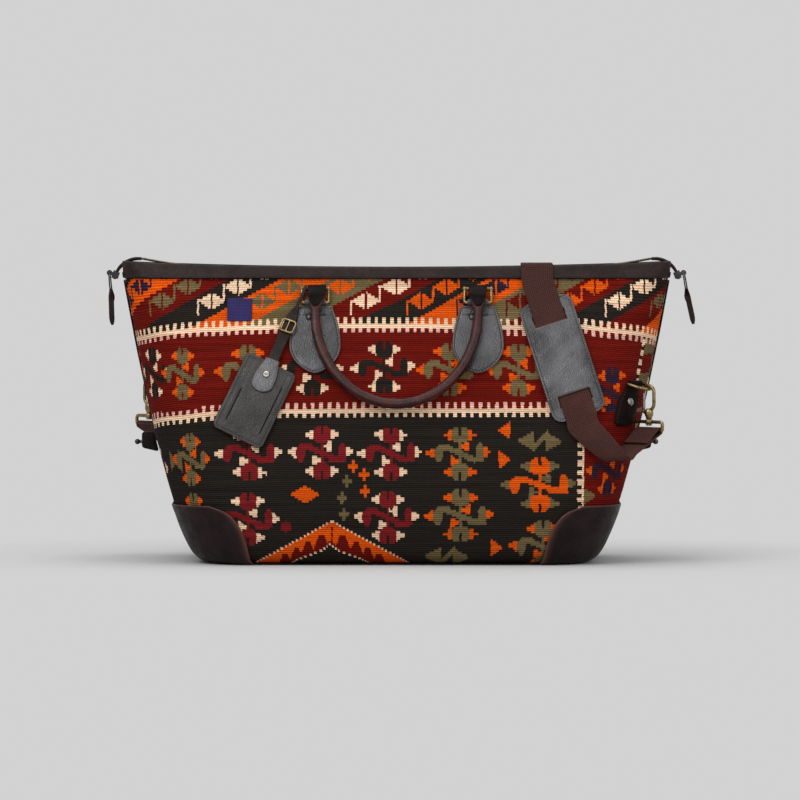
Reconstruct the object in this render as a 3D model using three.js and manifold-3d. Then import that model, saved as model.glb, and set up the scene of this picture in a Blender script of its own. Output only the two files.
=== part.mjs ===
import * as THREE from 'three';
import { mergeVertices } from 'three/addons/utils/BufferGeometryUtils.js';
import Module from 'manifold-3d';

// Bag body, in millimetres
const BAG_HEIGHT = 305;
const BASE_LENGTH = 384;
const MOUTH_LENGTH = 557;
const BASE_DEPTH = 210;
const BELLY_DEPTH = 236;
const BELLY_HEIGHT = 60;
const MOUTH_DEPTH = 36;
const CORNER_RADIUS = 60;
const END_FLARE = 0.62;
const SIDE_SLOPE = 1.6;
const CORNER_SHARE = 0.92;

// Material thicknesses and the gap left between neighbouring pieces
const GAP = 0.3;
const KILIM = 3;
const BASE_LEATHER = 2;
const BOARD = 3;
const LINING = 1;
const TRIM = 2;

// Kilim panels and the base
const PANEL_DROP = 15;
const PANEL_TOP = BAG_HEIGHT - PANEL_DROP;
const BOTTOM_ROLL = 14;
const BASE_FLANGE = 12;
const BASE_INSET = 10;
const BOARD_INSET = 14;
const SEAM_GAP = 0.6;

// Leather corner patches
const PATCH_HEIGHT = 60;
const PATCH_FLAT_ANGLE = 21;
const PATCH_TIP_ANGLE = 7;
const PATCH_GAP = 1.2;
const PATCH_THICKNESS = 1.8;
const PATCH_UNDER_ANGLE = 58;

// Rim binding, end strips, stud tabs and label
const RIM_LAP = 4;
const RIM_RISE = 2;
const RIM_SAG = 10;
const RIM_BOTTOM = PANEL_TOP - RIM_LAP;
const RIM_TOP_ENDS = BAG_HEIGHT + RIM_RISE;
const RIM_TOP_MIDDLE = RIM_TOP_ENDS - RIM_SAG;
const RIM_EDGE = 1.3;
const RIM_DROP_ANGLE = 42;
const RIM_LOW_ANGLE = 50;
const STRIP_WIDTH = 18;
const STRIP_DROP = 2;
const STRIP_TOP = RIM_BOTTOM - STRIP_DROP;
const STRIP_BOTTOM = 96;
const STUD_TAB_HEIGHT = 20;
const STUD_TAB_REACH = 15;
const STUD_TAB_WIDTH = 9;
const STUD_TAB_RISE = 4;
const STUD_TAB_CENTRE = 120;
const STUD_RADIUS = 2.8;
const STUD_NECK = 1.5;
const STUD_NECK_LENGTH = 2;
const LABEL_WIDTH = 25;
const LABEL_HEIGHT = 22.5;
const LABEL_X = -158;
const LABEL_DROP = 50;
const LABEL_Z = BAG_HEIGHT - LABEL_DROP;
const LABEL_THICKNESS = 0.8;

// Zip
const ZIP_SINK = 5;
const ZIP_END_SINK = 1.5;
const ZIP_MIDDLE = RIM_TOP_MIDDLE - ZIP_SINK;
const ZIP_END = RIM_TOP_ENDS - ZIP_END_SINK;
const TAPE_THICKNESS = 1;
const CHAIN_WIDTH = 6;
const CHAIN_HEIGHT = 2.6;
const TOOTH_HEIGHT = 0.9;
const TOOTH_PITCH = 10;
const CHAIN_INSET = 20.5;
const CHAIN_HALF_LENGTH = MOUTH_LENGTH / 2 - CHAIN_INSET;
const TAIL_WIDTH = 11;
const TAIL_THICKNESS = 3;
const TAIL_LEAD = 3.5;
const TAIL_ARC_RADIUS = 24;
const TAIL_SWEEP = 82;
const SLIDER_WALL = 1.4;
const SLIDER_CLEARANCE = 0.4;
const SLIDER_SWEEP = 17;
const SLIDER_START = 63;
const PULL_PIN_RADIUS = 1.1;
const PULL_LUG_EDGE = 0.8;
const PULL_LUG_WIDTH = 2;
const PULL_WIDTH = 5.5;
const PULL_THICKNESS = 2.4;
const PULL_LENGTH = 48;
const PULL_EYE_WALL = 1.5;
const PULL_EYE_CLEARANCE = 0.35;
const PULL_TILT = { left: -4, right: 10 };

// Handles: patches sewn to the panels, upright rings and rolled leather
const HANDLE_SPACING = 164;
const HANDLE_PATCH_DROP = 46;
const HANDLE_PATCH_UPPER = 39;
const HANDLE_PATCH_LOWER = 28;
const HANDLE_PATCH_TOP = BAG_HEIGHT - HANDLE_PATCH_DROP;
const HANDLE_PATCH_WIDEST = HANDLE_PATCH_TOP - HANDLE_PATCH_UPPER;
const HANDLE_PATCH_TIP = HANDLE_PATCH_WIDEST - HANDLE_PATCH_LOWER;
const HANDLE_PATCH_TOP_WIDTH = 34;
const HANDLE_PATCH_WIDTH = 52;
const HANDLE_PATCH_THICKNESS = 2.5;
const RING_WIRE = 1.75;
const RING_WIDTH = 27;
const RING_HEIGHT = 16;
const RING_BAR_RISE = 3;
const RING_BAR_Z = HANDLE_PATCH_TOP + RING_BAR_RISE;
const RING_STANDOFF = 5;
const RING_BALL = 2.4;
const LOOP_CLEARANCE = 0.35;
const LOOP_LEATHER = 1.6;
const PATCH_LOOP_WIDTH = 21;
const HANDLE_LOOP_WIDTH = 14.4;
const HANDLE_RADIUS = 5.25;
const HANDLE_NECK_RADIUS = 4.6;
const HANDLE_NECK_DROP = 9;
const HANDLE_NECK_Z = RING_BAR_Z - HANDLE_NECK_DROP;
const HANDLE_DROP = 91;
const HANDLE_FOLD_SHARE = 0.42;
const HANDLE_SETTLE = 30;

// Luggage tag on the left front ring
const TAG_DROP = 88;
const TAG_CENTRE = [-142.5, HANDLE_NECK_Z - TAG_DROP];
const TAG_WIDTH = 55;
const TAG_LENGTH = 82;
const TAG_TILT = 26;
const TAG_CORNER = 6;
const TAG_LEATHERS = 2.6;
const TAG_STRAP_WIDTH = 11.5;
const TAG_STRAP_THICKNESS = 1.8;
const TAG_STRAP_DROP = 70;
const TAG_STRAP_FOOT = [-134, HANDLE_NECK_Z - TAG_STRAP_DROP];
const TAG_STRAP_RISE = [0.68, 0.82];
const TAG_STRAP_ROWS = [0, 0.25, 0.5, 0.66, 0.76, 0.84, 0.92, 1];
const THONG_WIDTH = 3.4;
const BUCKLE_AT = 0.58;
const BUCKLE_WIDTH = 14;
const BUCKLE_LENGTH = 13;
const BUCKLE_WIRE = 1.1;
const SNAP_AT = 0.08;
const SNAP_RADIUS = 3.6;
const SNAP_HEIGHT = 2.2;

// Shoulder strap and its pad
const WEBBING_WIDTH = 32;
const WEBBING = 1.8;
const STRAP_TOP_X = 142;
const STRAP_TILT = 17.6;
const STRAP_TURN = 30;
const PAD_WIDTH = 55;
const PAD_LENGTH = 122;
const PAD_START = 35;
const PAD_LEATHER = 2.2;
const PAD_SLOT_INSET = 14;
const PAD_SLOT = 11;
const PAD_ENDS = [[0, 0.62], [2, 0.85], [9, 1]];
const PAD_SLOT_DEPTH = [-1, 9];
const RIM_TURN = 4;
const STRAP_PAST_PAD = 12;
const STRAP_SLACK = 2.4;
const RAMP_ANGLE = 28;
const RAMP_LENGTH = 40;
const TURN_REACH = 14;
const DOUBLED = 24;
const BACK_STEPS = 26;
const BACK_ROUTE = [[STRAP_TOP_X, BAG_HEIGHT - 13], [STRAP_TOP_X, BAG_HEIGHT - 55],
  [STRAP_TOP_X - 2, BAG_HEIGHT - 100], [STRAP_TOP_X - 12, BAG_HEIGHT - 145],
  [98, 120], [50, 95], [-10, 84], [-70, 82], [-125, 86], [-172, 96]];

// Corner ring tabs, rings and trigger hooks
const RING_TAB_WIDTH = 17;
const RING_TAB_DROP = 124;
const RING_TAB_LENGTH = 42;
const RIVET_DROP = 18;
const RING_TAB_TOP = BAG_HEIGHT - RING_TAB_DROP;
const RING_TAB_BOTTOM = RING_TAB_TOP - RING_TAB_LENGTH;
const RING_TAB_RIVET = RING_TAB_TOP - RIVET_DROP;
const RING_TAB_ROWS = [[0, 0.45], [2.5, 0.8], [8, 1], [20, 1], [32, 1]];
const RIVET_RADIUS = 4;
const RIVET_HEIGHT = 2;
const D_WIRE = 1.5;
const D_BAR = 22;
const D_REACH = 20;
const D_TILT = 75;
const HOOK_WIRE = 1.75;
const HOOK_EYE_WIDTH = 17;
const HOOK_EYE_HEIGHT = 28;
const HOOK_BODY_HEIGHT = 9;
const HOOK_BODY_RADIUS = 4.4;
const HOOK_GATE_RADIUS = 1.4;
const HOOK_GATE_LENGTH = 16;
const SWIVEL_GAP = 0.4;
const SWIVEL_NECK = 2;
const SWIVEL_LOOP_HEIGHT = 9;
const BOSS_HEIGHT = 4.5;
const BOSS_RADIUS = 4.2;
const PIN_HEAD = 1.2;
const PIN_HEAD_RADIUS = 3.2;

const wasm = await Module();
wasm.setup();

const finish = (colour, roughness, metalness = 0) =>
  new THREE.MeshStandardMaterial({ color: colour, roughness, metalness });
const KILIM_CLOTH = [0x64121a, 0.9];
const RIM_LEATHER = [0x3e3230, 0.6];
const CORNER_LEATHER = [0x2a1e1e, 0.55];
const CHARCOAL_LEATHER = [0x555658, 0.5];
const HANDLE_LEATHER = [0x3c2222, 0.5];
const TAG_LEATHER = [0x44403f, 0.55];
const TAB_LEATHER = [0x1e1614, 0.5];
const COTTON = [0x6f6450, 0.95];
const CARDBOARD = [0x8a7455, 0.9];
const WEBBING_CLOTH = [0x482e2b, 0.85];
const LABEL_CLOTH = [0x342c64, 0.9];
const ZIP_CLOTH = [0x2a2420, 0.9];
const ZIP_METAL = [0x8a7442, 0.4, 0.9];
const BRASS = [0xaa9664, 0.35, 1];
const STEEL = [0xb8b8b4, 0.3, 1];
const GUNMETAL = [0x3c3a3c, 0.35, 0.9];

const bag = new THREE.Group();

function addPiece(name, geometry, surface, parent = bag) {
  const piece = new THREE.Mesh(geometry, finish(...surface));
  piece.name = name;
  parent.add(piece);
  return piece;
}

const radians = THREE.MathUtils.degToRad;
const lerp = THREE.MathUtils.lerp;
const vector = (x, y, z) => new THREE.Vector3(x, y, z);
const steps = (count, from = 0, to = 1) =>
  Array.from({ length: count + 1 }, (_, i) => lerp(from, to, i / count));

// Closed solid through a row of rings, with flat ends or joined into a loop

function ringNormal(ring) {
  const normal = vector(0, 0, 0);
  ring.forEach((point, i) => {
    normal.add(point.clone().cross(ring[(i + 1) % ring.length]));
  });
  return normal.normalize();
}

function capTriangles(ring, direction) {
  const normal = ringNormal(ring);
  const across = ring[1].clone().sub(ring[0]).normalize();
  const up = normal.clone().cross(across);
  const flat = ring.map((point) => new THREE.Vector2(point.dot(across), point.dot(up)));
  return THREE.ShapeUtils.triangulateShape(flat, []).map(([a, b, c]) => {
    const turn = flat[b].clone().sub(flat[a]).cross(flat[c].clone().sub(flat[a]));
    return turn * direction > 0 ? [a, b, c] : [a, c, b];
  });
}

function signedVolume(position, index) {
  const corner = (i) => vector(position[3 * i], position[3 * i + 1], position[3 * i + 2]);
  let volume = 0;
  for (let i = 0; i < index.length; i += 3) {
    volume += corner(index[i]).dot(corner(index[i + 1]).cross(corner(index[i + 2])));
  }
  return volume / 6;
}

function loft(rings, loop = false) {
  const size = rings[0].length;
  const position = rings.flat().flatMap((point) => point.toArray());
  const index = [];
  const spans = loop ? rings.length : rings.length - 1;
  for (let r = 0; r < spans; r += 1) {
    const here = r * size;
    const next = ((r + 1) % rings.length) * size;
    for (let i = 0; i < size; i += 1) {
      const j = (i + 1) % size;
      index.push(here + i, next + i, next + j, here + i, next + j, here + j);
    }
  }
  if (!loop) {
    const end = (rings.length - 1) * size;
    capTriangles(rings[0], 1).forEach((face) => index.push(...face));
    capTriangles(rings[rings.length - 1], -1)
      .forEach((face) => index.push(...face.map((i) => i + end)));
  }
  if (signedVolume(position, index) < 0) {
    index.reverse();
  }
  const geometry = new THREE.BufferGeometry();
  geometry.setAttribute('position', new THREE.Float32BufferAttribute(position, 3));
  geometry.setIndex(index);
  return geometry;
}

// Joins and cuts between closed solids

function toSolid(geometry) {
  const bare = geometry.clone();
  bare.deleteAttribute('normal');
  bare.deleteAttribute('uv');
  const merged = mergeVertices(bare, 1e-4);
  return new wasm.Manifold(new wasm.Mesh({
    numProp: 3,
    vertProperties: new Float32Array(merged.attributes.position.array),
    triVerts: new Uint32Array(merged.index.array),
  }));
}

function toGeometry(solid) {
  const result = solid.getMesh();
  const geometry = new THREE.BufferGeometry();
  geometry.setAttribute('position', new THREE.BufferAttribute(result.vertProperties, 3));
  geometry.setIndex(new THREE.BufferAttribute(result.triVerts, 1));
  return geometry;
}

function combine(joined, cut = []) {
  const whole = joined.map(toSolid).reduce((sum, solid) => sum.add(solid));
  return toGeometry(cut.map(toSolid).reduce((rest, solid) => rest.subtract(solid), whole));
}

// Round bar between two points
function rod(from, to, radius, sides = 12) {
  const along = to.clone().sub(from);
  const geometry = new THREE.CylinderGeometry(radius, radius, along.length(), sides);
  geometry.applyQuaternion(new THREE.Quaternion().setFromUnitVectors(vector(0, 1, 0), along.normalize()));
  return geometry.translate(...from.clone().add(to).multiplyScalar(0.5).toArray());
}

function ball(centre, radius, sides = 8, rows = 4) {
  return new THREE.SphereGeometry(radius, sides, rows).translate(...centre.toArray());
}

// Bent wire through points that lie in one plane
function wire(points, radius, planeNormal, loop = false, sides = 8) {
  const rings = points.map((point, i) => {
    const before = loop ? points.at(i - 1) : points[Math.max(i - 1, 0)];
    const after = loop ? points[(i + 1) % points.length] : points[Math.min(i + 1, points.length - 1)];
    const arrive = point.clone().sub(before).normalize();
    const leave = after.clone().sub(point).normalize();
    const tangent = arrive.clone().add(leave).normalize();
    const sideways = tangent.clone().cross(planeNormal).normalize();
    const reach = Math.max(tangent.dot(leave), tangent.dot(arrive), 0.5);
    return steps(sides - 1, 0, 1 - 1 / sides).map((share) => {
      const angle = share * 2 * Math.PI;
      return point.clone()
        .addScaledVector(sideways, radius / reach * Math.cos(angle))
        .addScaledVector(planeNormal, radius * Math.sin(angle));
    });
  });
  return loft(rings, loop);
}

// The bag's outside: a rounded rectangle at each height, narrowing to the mouth

const halfLength = (z) =>
  (BASE_LENGTH + (MOUTH_LENGTH - BASE_LENGTH) * (Math.max(z, 0) / BAG_HEIGHT) ** END_FLARE) / 2;

function halfDepth(z) {
  if (z < BELLY_HEIGHT) {
    return (BELLY_DEPTH - (BELLY_DEPTH - BASE_DEPTH) * (1 - z / BELLY_HEIGHT) ** 2) / 2;
  }
  const rise = (z - BELLY_HEIGHT) / (BAG_HEIGHT - BELLY_HEIGHT);
  return (BELLY_DEPTH - (BELLY_DEPTH - MOUTH_DEPTH) * rise ** SIDE_SLOPE) / 2;
}

const cornerRadius = (z) => Math.min(CORNER_RADIUS, CORNER_SHARE * halfDepth(z));

// Station 0 is the middle of the front, 1 to 2 the round corner, 3 the end seam; offset points outwards
function outlinePoint(station, z, offset) {
  const radius = cornerRadius(z);
  const reach = halfLength(z) - radius;
  const inset = halfDepth(z) - radius;
  const along = Math.abs(station);
  const turn = radians(90) * THREE.MathUtils.clamp(along - 1, 0, 1);
  const x = reach * Math.min(along, 1) + (radius + offset) * Math.sin(turn);
  const y = along > 2 ? lerp(inset, SEAM_GAP / 2, along - 2) : inset + (radius + offset) * Math.cos(turn);
  return vector(Math.sign(station) * x, -y, z);
}

const cornerStation = (angle) => 1 + angle / 90;
const CORNER_STATIONS = steps(8, 1, 2);
const mirrored = (stations) => [...stations.map((station) => -station).reverse(), ...stations];
const HALF_ROUND = mirrored([...CORNER_STATIONS, 3]);

// Solid that follows the outline, with a profile of offset and height at each station
const wrap = (stations, profileAt) =>
  loft(stations.map((station) =>
    profileAt(station).map(([offset, z]) => outlinePoint(station, z, offset))));

function outlineRing(z, offset) {
  const half = mirrored(steps(4, 1, 2)).map((station) => outlinePoint(station, z, offset));
  return [...half, ...half.map((point) => vector(-point.x, -point.y, z))];
}

// Place on the front face, out from the kilim by an offset
const onFront = (x, z, offset) => vector(x, -(halfDepth(z) + offset), z);

// Flat convex outline of x and z laid on the front face
function drape(outline, inner, outer, rowHeight = 8) {
  const heights = outline.map(([, z]) => z);
  const low = Math.min(...heights) + GAP / 2;
  const high = Math.max(...heights) - GAP / 2;
  const rows = steps(Math.ceil((high - low) / rowHeight), low, high);
  return loft(rows.map((z) => {
    const crossings = outline.flatMap(([x0, z0], i) => {
      const [x1, z1] = outline[(i + 1) % outline.length];
      const between = (z0 - z) * (z1 - z) <= 0 && z0 !== z1;
      return between ? [lerp(x0, x1, (z - z0) / (z1 - z0))] : [];
    });
    const left = Math.min(...crossings);
    const right = Math.max(...crossings);
    return [onFront(left, z, inner), onFront(left, z, outer),
      onFront(right, z, outer), onFront(right, z, inner)];
  }));
}

// Turn a front piece to the back
const HALF_TURN = new THREE.Matrix4().makeRotationZ(Math.PI);
const turned = (geometry) => geometry.clone().applyMatrix4(HALF_TURN);

// Kilim panels: a wall that rolls under the bag and ends in a flange
const PANEL_BOTTOM = BASE_LEATHER + GAP;
const ROLL_CENTRE = PANEL_BOTTOM + BOTTOM_ROLL;

const rollPoint = (radius, angle) => [
  radius * Math.cos(radians(angle)) - BOTTOM_ROLL,
  ROLL_CENTRE - radius * Math.sin(radians(angle)),
];

function panelProfile() {
  const walls = steps(10, PANEL_TOP, ROLL_CENTRE);
  const angles = steps(4, 0, 90).slice(1);
  const flange = -BOTTOM_ROLL - BASE_FLANGE;
  return [
    ...walls.map((z) => [0, z]),
    ...angles.map((angle) => rollPoint(BOTTOM_ROLL, angle)),
    [flange, PANEL_BOTTOM],
    [flange, PANEL_BOTTOM + KILIM],
    ...angles.reverse().map((angle) => rollPoint(BOTTOM_ROLL - KILIM, angle)),
    ...walls.reverse().map((z) => [-KILIM, z]),
  ];
}

const panel = wrap(HALF_ROUND, panelProfile);
addPiece('kilim_front', panel, KILIM_CLOTH);
addPiece('kilim_back', turned(panel), KILIM_CLOTH);

// Base leather, board and lining
const plate = (z, thickness, offset) =>
  loft([z, z + thickness].map((height) =>
    outlineRing(PANEL_BOTTOM, offset).map((point) => point.setZ(height))));
const BOARD_BOTTOM = PANEL_BOTTOM + KILIM + GAP;
const BOARD_TOP = BOARD_BOTTOM + BOARD;
addPiece('base_panel', plate(0, BASE_LEATHER, -BASE_INSET), CORNER_LEATHER);
addPiece('base_board', plate(BOARD_BOTTOM, BOARD, -BOARD_INSET), CARDBOARD);

function liningGeometry() {
  const outside = -KILIM - 4 * GAP;
  const top = RIM_BOTTOM - GAP;
  const floor = BOARD_TOP + GAP;
  const walls = steps(6, floor + BOTTOM_ROLL, top);
  const inside = outside - LINING;
  return loft([
    outlineRing(floor, outside - BOTTOM_ROLL),
    ...walls.map((z) => outlineRing(z, outside)),
    ...walls.reverse().map((z) => outlineRing(z, inside)),
    outlineRing(floor + LINING, inside - BOTTOM_ROLL),
  ]);
}
addPiece('lining', liningGeometry(), COTTON);

// Leather corner patches, cut as a quarter ellipse
const patchStations = [
  ...steps(5, cornerStation(PATCH_TIP_ANGLE), cornerStation(PATCH_FLAT_ANGLE)),
  ...CORNER_STATIONS.filter((station) => station > cornerStation(PATCH_FLAT_ANGLE + 5)),
  3,
];

function patchProfile(station) {
  const tip = cornerStation(PATCH_TIP_ANGLE);
  const full = cornerStation(PATCH_FLAT_ANGLE);
  const along = THREE.MathUtils.clamp((full - Math.abs(station)) / (full - tip), 0, 0.97);
  const top = PATCH_HEIGHT * Math.sqrt(1 - along ** 2);
  const rollLength = BOTTOM_ROLL * radians(PATCH_UNDER_ANGLE);
  const topAngle = Math.asin(THREE.MathUtils.clamp((ROLL_CENTRE - top) / BOTTOM_ROLL, 0, 0.9));
  const length = rollLength - BOTTOM_ROLL * topAngle + Math.max(top - ROLL_CENTRE, 0);
  const place = (run, out) => {
    if (run > rollLength) {
      return [out, ROLL_CENTRE + run - rollLength];
    }
    return rollPoint(BOTTOM_ROLL + out, PATCH_UNDER_ANGLE * (1 - run / rollLength));
  };
  const runs = steps(7).map((share) => length * share ** 1.5);
  return [
    ...runs.map((run) => place(run, PATCH_GAP)),
    ...runs.reverse().map((run) => place(run, PATCH_GAP + PATCH_THICKNESS)),
  ];
}

for (const [side, sign] of [['left', -1], ['right', 1]]) {
  const patch = wrap(patchStations.map((station) => sign * station), patchProfile);
  addPiece(`corner_patch_front_${side}`, patch, CORNER_LEATHER);
  addPiece(`corner_patch_back_${side === 'left' ? 'right' : 'left'}`, turned(patch), CORNER_LEATHER);
}

// Rim binding, folded over the top edge of each panel and sagging towards the middle
const rimTop = (x) =>
  RIM_TOP_MIDDLE + (RIM_TOP_ENDS - RIM_TOP_MIDDLE) * (2 * x / MOUTH_LENGTH) ** 2;
const RIM_INSIDE = -KILIM - GAP - TRIM;

function rimProfile(station) {
  const low = Math.abs(station) >= cornerStation(RIM_LOW_ANGLE);
  const top = low ? PANEL_TOP + GAP + RIM_EDGE : rimTop(outlinePoint(station, RIM_BOTTOM, 0).x);
  return [
    [GAP, RIM_BOTTOM],
    [GAP + TRIM, RIM_BOTTOM],
    [GAP + TRIM, top],
    [RIM_INSIDE, top],
    [RIM_INSIDE, PANEL_TOP - RIM_LAP],
    [RIM_INSIDE + TRIM, PANEL_TOP - RIM_LAP],
    [RIM_INSIDE + TRIM, PANEL_TOP + GAP],
    [GAP, PANEL_TOP + GAP],
  ];
}

const rimCorner = steps(4, 1, cornerStation(RIM_DROP_ANGLE));
const rimEnd = [...steps(3, cornerStation(RIM_LOW_ANGLE), 2), 3];
const rim = wrap(mirrored([...steps(3, 0.1, 0.82), ...rimCorner, ...rimEnd]), rimProfile);
addPiece('rim_front', rim, RIM_LEATHER);
addPiece('rim_back', turned(rim), RIM_LEATHER);

// Ends: strip over the seam, with a folded tab and its ball stud
const stripRows = steps(10, STRIP_BOTTOM, STRIP_TOP);
const STRIP_OUTSIDE = GAP + TRIM;

function endStrip(sign) {
  return loft(stripRows.map((z) => [GAP, STRIP_OUTSIDE].flatMap((offset, layer) => {
    const sides = layer === 0 ? [-1, 1] : [1, -1];
    return sides.map((side) => vector(sign * (halfLength(z) + offset), side * STRIP_WIDTH / 2, z));
  })));
}

function studTab(sign) {
  const root = halfLength(STUD_TAB_CENTRE) + STRIP_OUTSIDE + GAP;
  const lean = (z) => halfLength(z) - halfLength(STUD_TAB_CENTRE);
  const low = STUD_TAB_CENTRE - STUD_TAB_HEIGHT / 2;
  const high = STUD_TAB_CENTRE + STUD_TAB_HEIGHT / 2;
  const side = [
    [root + lean(low) + GAP, low],
    [root + STUD_TAB_REACH, low + STUD_TAB_RISE],
    [root + STUD_TAB_REACH, high],
    [root + lean(high) + GAP, high],
  ];
  return loft([-1, 1].map((edge) =>
    side.map(([x, z]) => vector(sign * x, edge * STUD_TAB_WIDTH / 2, z))));
}

function tabStud(sign) {
  const face = halfLength(STUD_TAB_CENTRE) + STRIP_OUTSIDE + 2 * GAP + STUD_TAB_REACH;
  const centre = vector(sign * (face + STUD_NECK_LENGTH + STUD_RADIUS * 0.8), 0, STUD_TAB_CENTRE);
  const neck = rod(vector(sign * face, 0, STUD_TAB_CENTRE), centre, STUD_NECK);
  return combine([neck, ball(centre, STUD_RADIUS)]);
}

for (const [side, sign] of [['left', -1], ['right', 1]]) {
  addPiece(`end_strip_${side}`, endStrip(sign), RIM_LEATHER);
  addPiece(`stud_tab_${side}`, studTab(sign), RIM_LEATHER);
  addPiece(`tab_stud_${side}`, tabStud(sign), GUNMETAL);
}

const rectangle = (x, z, width, height) => [
  [x - width / 2, z - height / 2],
  [x + width / 2, z - height / 2],
  [x + width / 2, z + height / 2],
  [x - width / 2, z + height / 2],
];
const label = drape(rectangle(LABEL_X, LABEL_Z, LABEL_WIDTH, LABEL_HEIGHT), GAP, GAP + LABEL_THICKNESS);
addPiece('label_patch', label, LABEL_CLOTH);

// Zip tapes between the rims, sagging with them
const zipHeight = (x) => ZIP_MIDDLE + (ZIP_END - ZIP_MIDDLE) * (x / CHAIN_HALF_LENGTH) ** 4;
const zipStations = steps(20, -CHAIN_HALF_LENGTH, CHAIN_HALF_LENGTH);

const tape = loft(zipStations.slice(1, -1).map((x) => {
  const z = zipHeight(x);
  const inner = -CHAIN_WIDTH / 2 - GAP;
  const outer = -halfDepth(z + TAPE_THICKNESS / 2) - RIM_INSIDE + GAP;
  return [[inner, -1], [outer, -1], [outer, 1], [inner, 1]]
    .map(([y, layer]) => vector(x, y, z + layer * TAPE_THICKNESS / 2));
}));
addPiece('zip_tape_front', tape, ZIP_CLOTH);
addPiece('zip_tape_back', turned(tape), ZIP_CLOTH);

// Zip chain with a ridge for each pair of teeth
const toothCount = Math.round(2 * CHAIN_HALF_LENGTH / TOOTH_PITCH);
const chain = loft(steps(2 * toothCount, -CHAIN_HALF_LENGTH, CHAIN_HALF_LENGTH).map((x, i) => {
  const height = CHAIN_HEIGHT / 2 + (i % 2) * TOOTH_HEIGHT;
  const half = CHAIN_WIDTH / 2;
  return [[-half, -CHAIN_HEIGHT / 2], [half, -CHAIN_HEIGHT / 2], [half, height], [-half, height]]
    .map(([y, z]) => vector(x, y, zipHeight(x) + z));
}));
addPiece('zip_chain', chain, ZIP_METAL);

// Zip tails droop past the ends on an arc; sliders run along it and carry the pulls
const TAIL_TOP = zipHeight(CHAIN_HALF_LENGTH);
const TAIL_START = CHAIN_HALF_LENGTH + GAP;
const TAIL_CENTRE_Z = TAIL_TOP - TAIL_ARC_RADIUS;
const TAIL_CENTRE_X = TAIL_START + TAIL_LEAD;

const arcPoint = (radius, angle, y) => vector(
  TAIL_CENTRE_X + radius * Math.sin(radians(angle)), y, TAIL_CENTRE_Z + radius * Math.cos(radians(angle)));

function arcBlock(angles, radius, thickness, width) {
  const half = width / 2;
  return angles.map((angle) => [[-half, -1], [half, -1], [half, 1], [-half, 1]]
    .map(([y, layer]) => arcPoint(radius + layer * thickness / 2, angle, y)));
}

function zipTail() {
  const bends = arcBlock(steps(10, 0, TAIL_SWEEP), TAIL_ARC_RADIUS, TAIL_THICKNESS, TAIL_WIDTH);
  const root = bends[0].map((point) => point.clone().setX(TAIL_START));
  return loft([root, ...bends]);
}

const SLIDER_END = SLIDER_START + SLIDER_SWEEP;
const SLIDER_OUTSIDE = TAIL_ARC_RADIUS + TAIL_THICKNESS / 2 + SLIDER_CLEARANCE + SLIDER_WALL;
const PULL_EYE_RADIUS = PULL_PIN_RADIUS + PULL_EYE_CLEARANCE + PULL_EYE_WALL;
const PIN_PATH = SLIDER_OUTSIDE + GAP + PULL_EYE_RADIUS;
const pinCentre = (y) => arcPoint(PIN_PATH, SLIDER_START + SLIDER_SWEEP / 2, y);
const LUG_INSIDE = PULL_WIDTH / 2 + PULL_EYE_CLEARANCE;

function zipSlider() {
  const angles = steps(4, SLIDER_START, SLIDER_END);
  const hole = TAIL_WIDTH + 2 * SLIDER_CLEARANCE;
  const holeThickness = TAIL_THICKNESS + 2 * SLIDER_CLEARANCE;
  const sleeve = arcBlock(angles, TAIL_ARC_RADIUS, holeThickness + 2 * SLIDER_WALL, hole + 2 * SLIDER_WALL);
  const past = steps(4, SLIDER_START - 3, SLIDER_END + 3);
  const passage = arcBlock(past, TAIL_ARC_RADIUS, holeThickness, hole);
  const lugAngles = [SLIDER_START + SLIDER_SWEEP * 0.3, SLIDER_START + SLIDER_SWEEP * 0.7];
  const lugInside = SLIDER_OUTSIDE - SLIDER_WALL / 2;
  const lugReach = PIN_PATH + PULL_PIN_RADIUS + PULL_LUG_EDGE - lugInside;
  const lugs = [-1, 1].map((side) => {
    const middle = side * (LUG_INSIDE + PULL_LUG_WIDTH / 2);
    return loft(arcBlock(lugAngles, lugInside + lugReach / 2, lugReach, PULL_LUG_WIDTH)
      .map((ring) => ring.map((point) => point.setY(point.y + middle))));
  });
  const reach = LUG_INSIDE + PULL_LUG_WIDTH / 2;
  const pin = rod(pinCentre(-reach), pinCentre(reach), PULL_PIN_RADIUS);
  return combine([loft(sleeve), ...lugs, pin], [loft(passage)]);
}

// Leather pull: an eye round the slider's pin, then a strip that hangs down
function zipPull(tilt) {
  const half = PULL_WIDTH / 2;
  const eye = rod(pinCentre(-half), pinCentre(half), PULL_EYE_RADIUS);
  const bore = rod(pinCentre(-PULL_WIDTH), pinCentre(PULL_WIDTH), PULL_PIN_RADIUS + PULL_EYE_CLEARANCE);
  const down = vector(Math.sin(radians(tilt)), 0, -Math.cos(radians(tilt)));
  const out = vector(Math.cos(radians(tilt)), 0, Math.sin(radians(tilt)));
  const strip = steps(3, PULL_PIN_RADIUS, PULL_LENGTH).map((run) =>
    [[-half, -1], [half, -1], [half, 1], [-half, 1]].map(([y, layer]) =>
      pinCentre(y).addScaledVector(down, run).addScaledVector(out, layer * PULL_THICKNESS / 2)));
  return combine([eye, loft(strip)], [bore]);
}

for (const [side, sign] of [['left', -1], ['right', 1]]) {
  const place = (geometry) => (sign > 0 ? geometry : turned(geometry));
  addPiece(`zip_tail_${side}`, place(zipTail()), ZIP_CLOTH);
  addPiece(`zip_slider_${side}`, place(zipSlider()), BRASS);
  addPiece(`zip_pull_${side}`, place(zipPull(PULL_TILT[side])), TAB_LEATHER);
}

// Strip through rows of points, thickened to both sides of each row
const rowSection = (inner, outer) => [...inner, ...outer.slice().reverse()];

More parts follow.
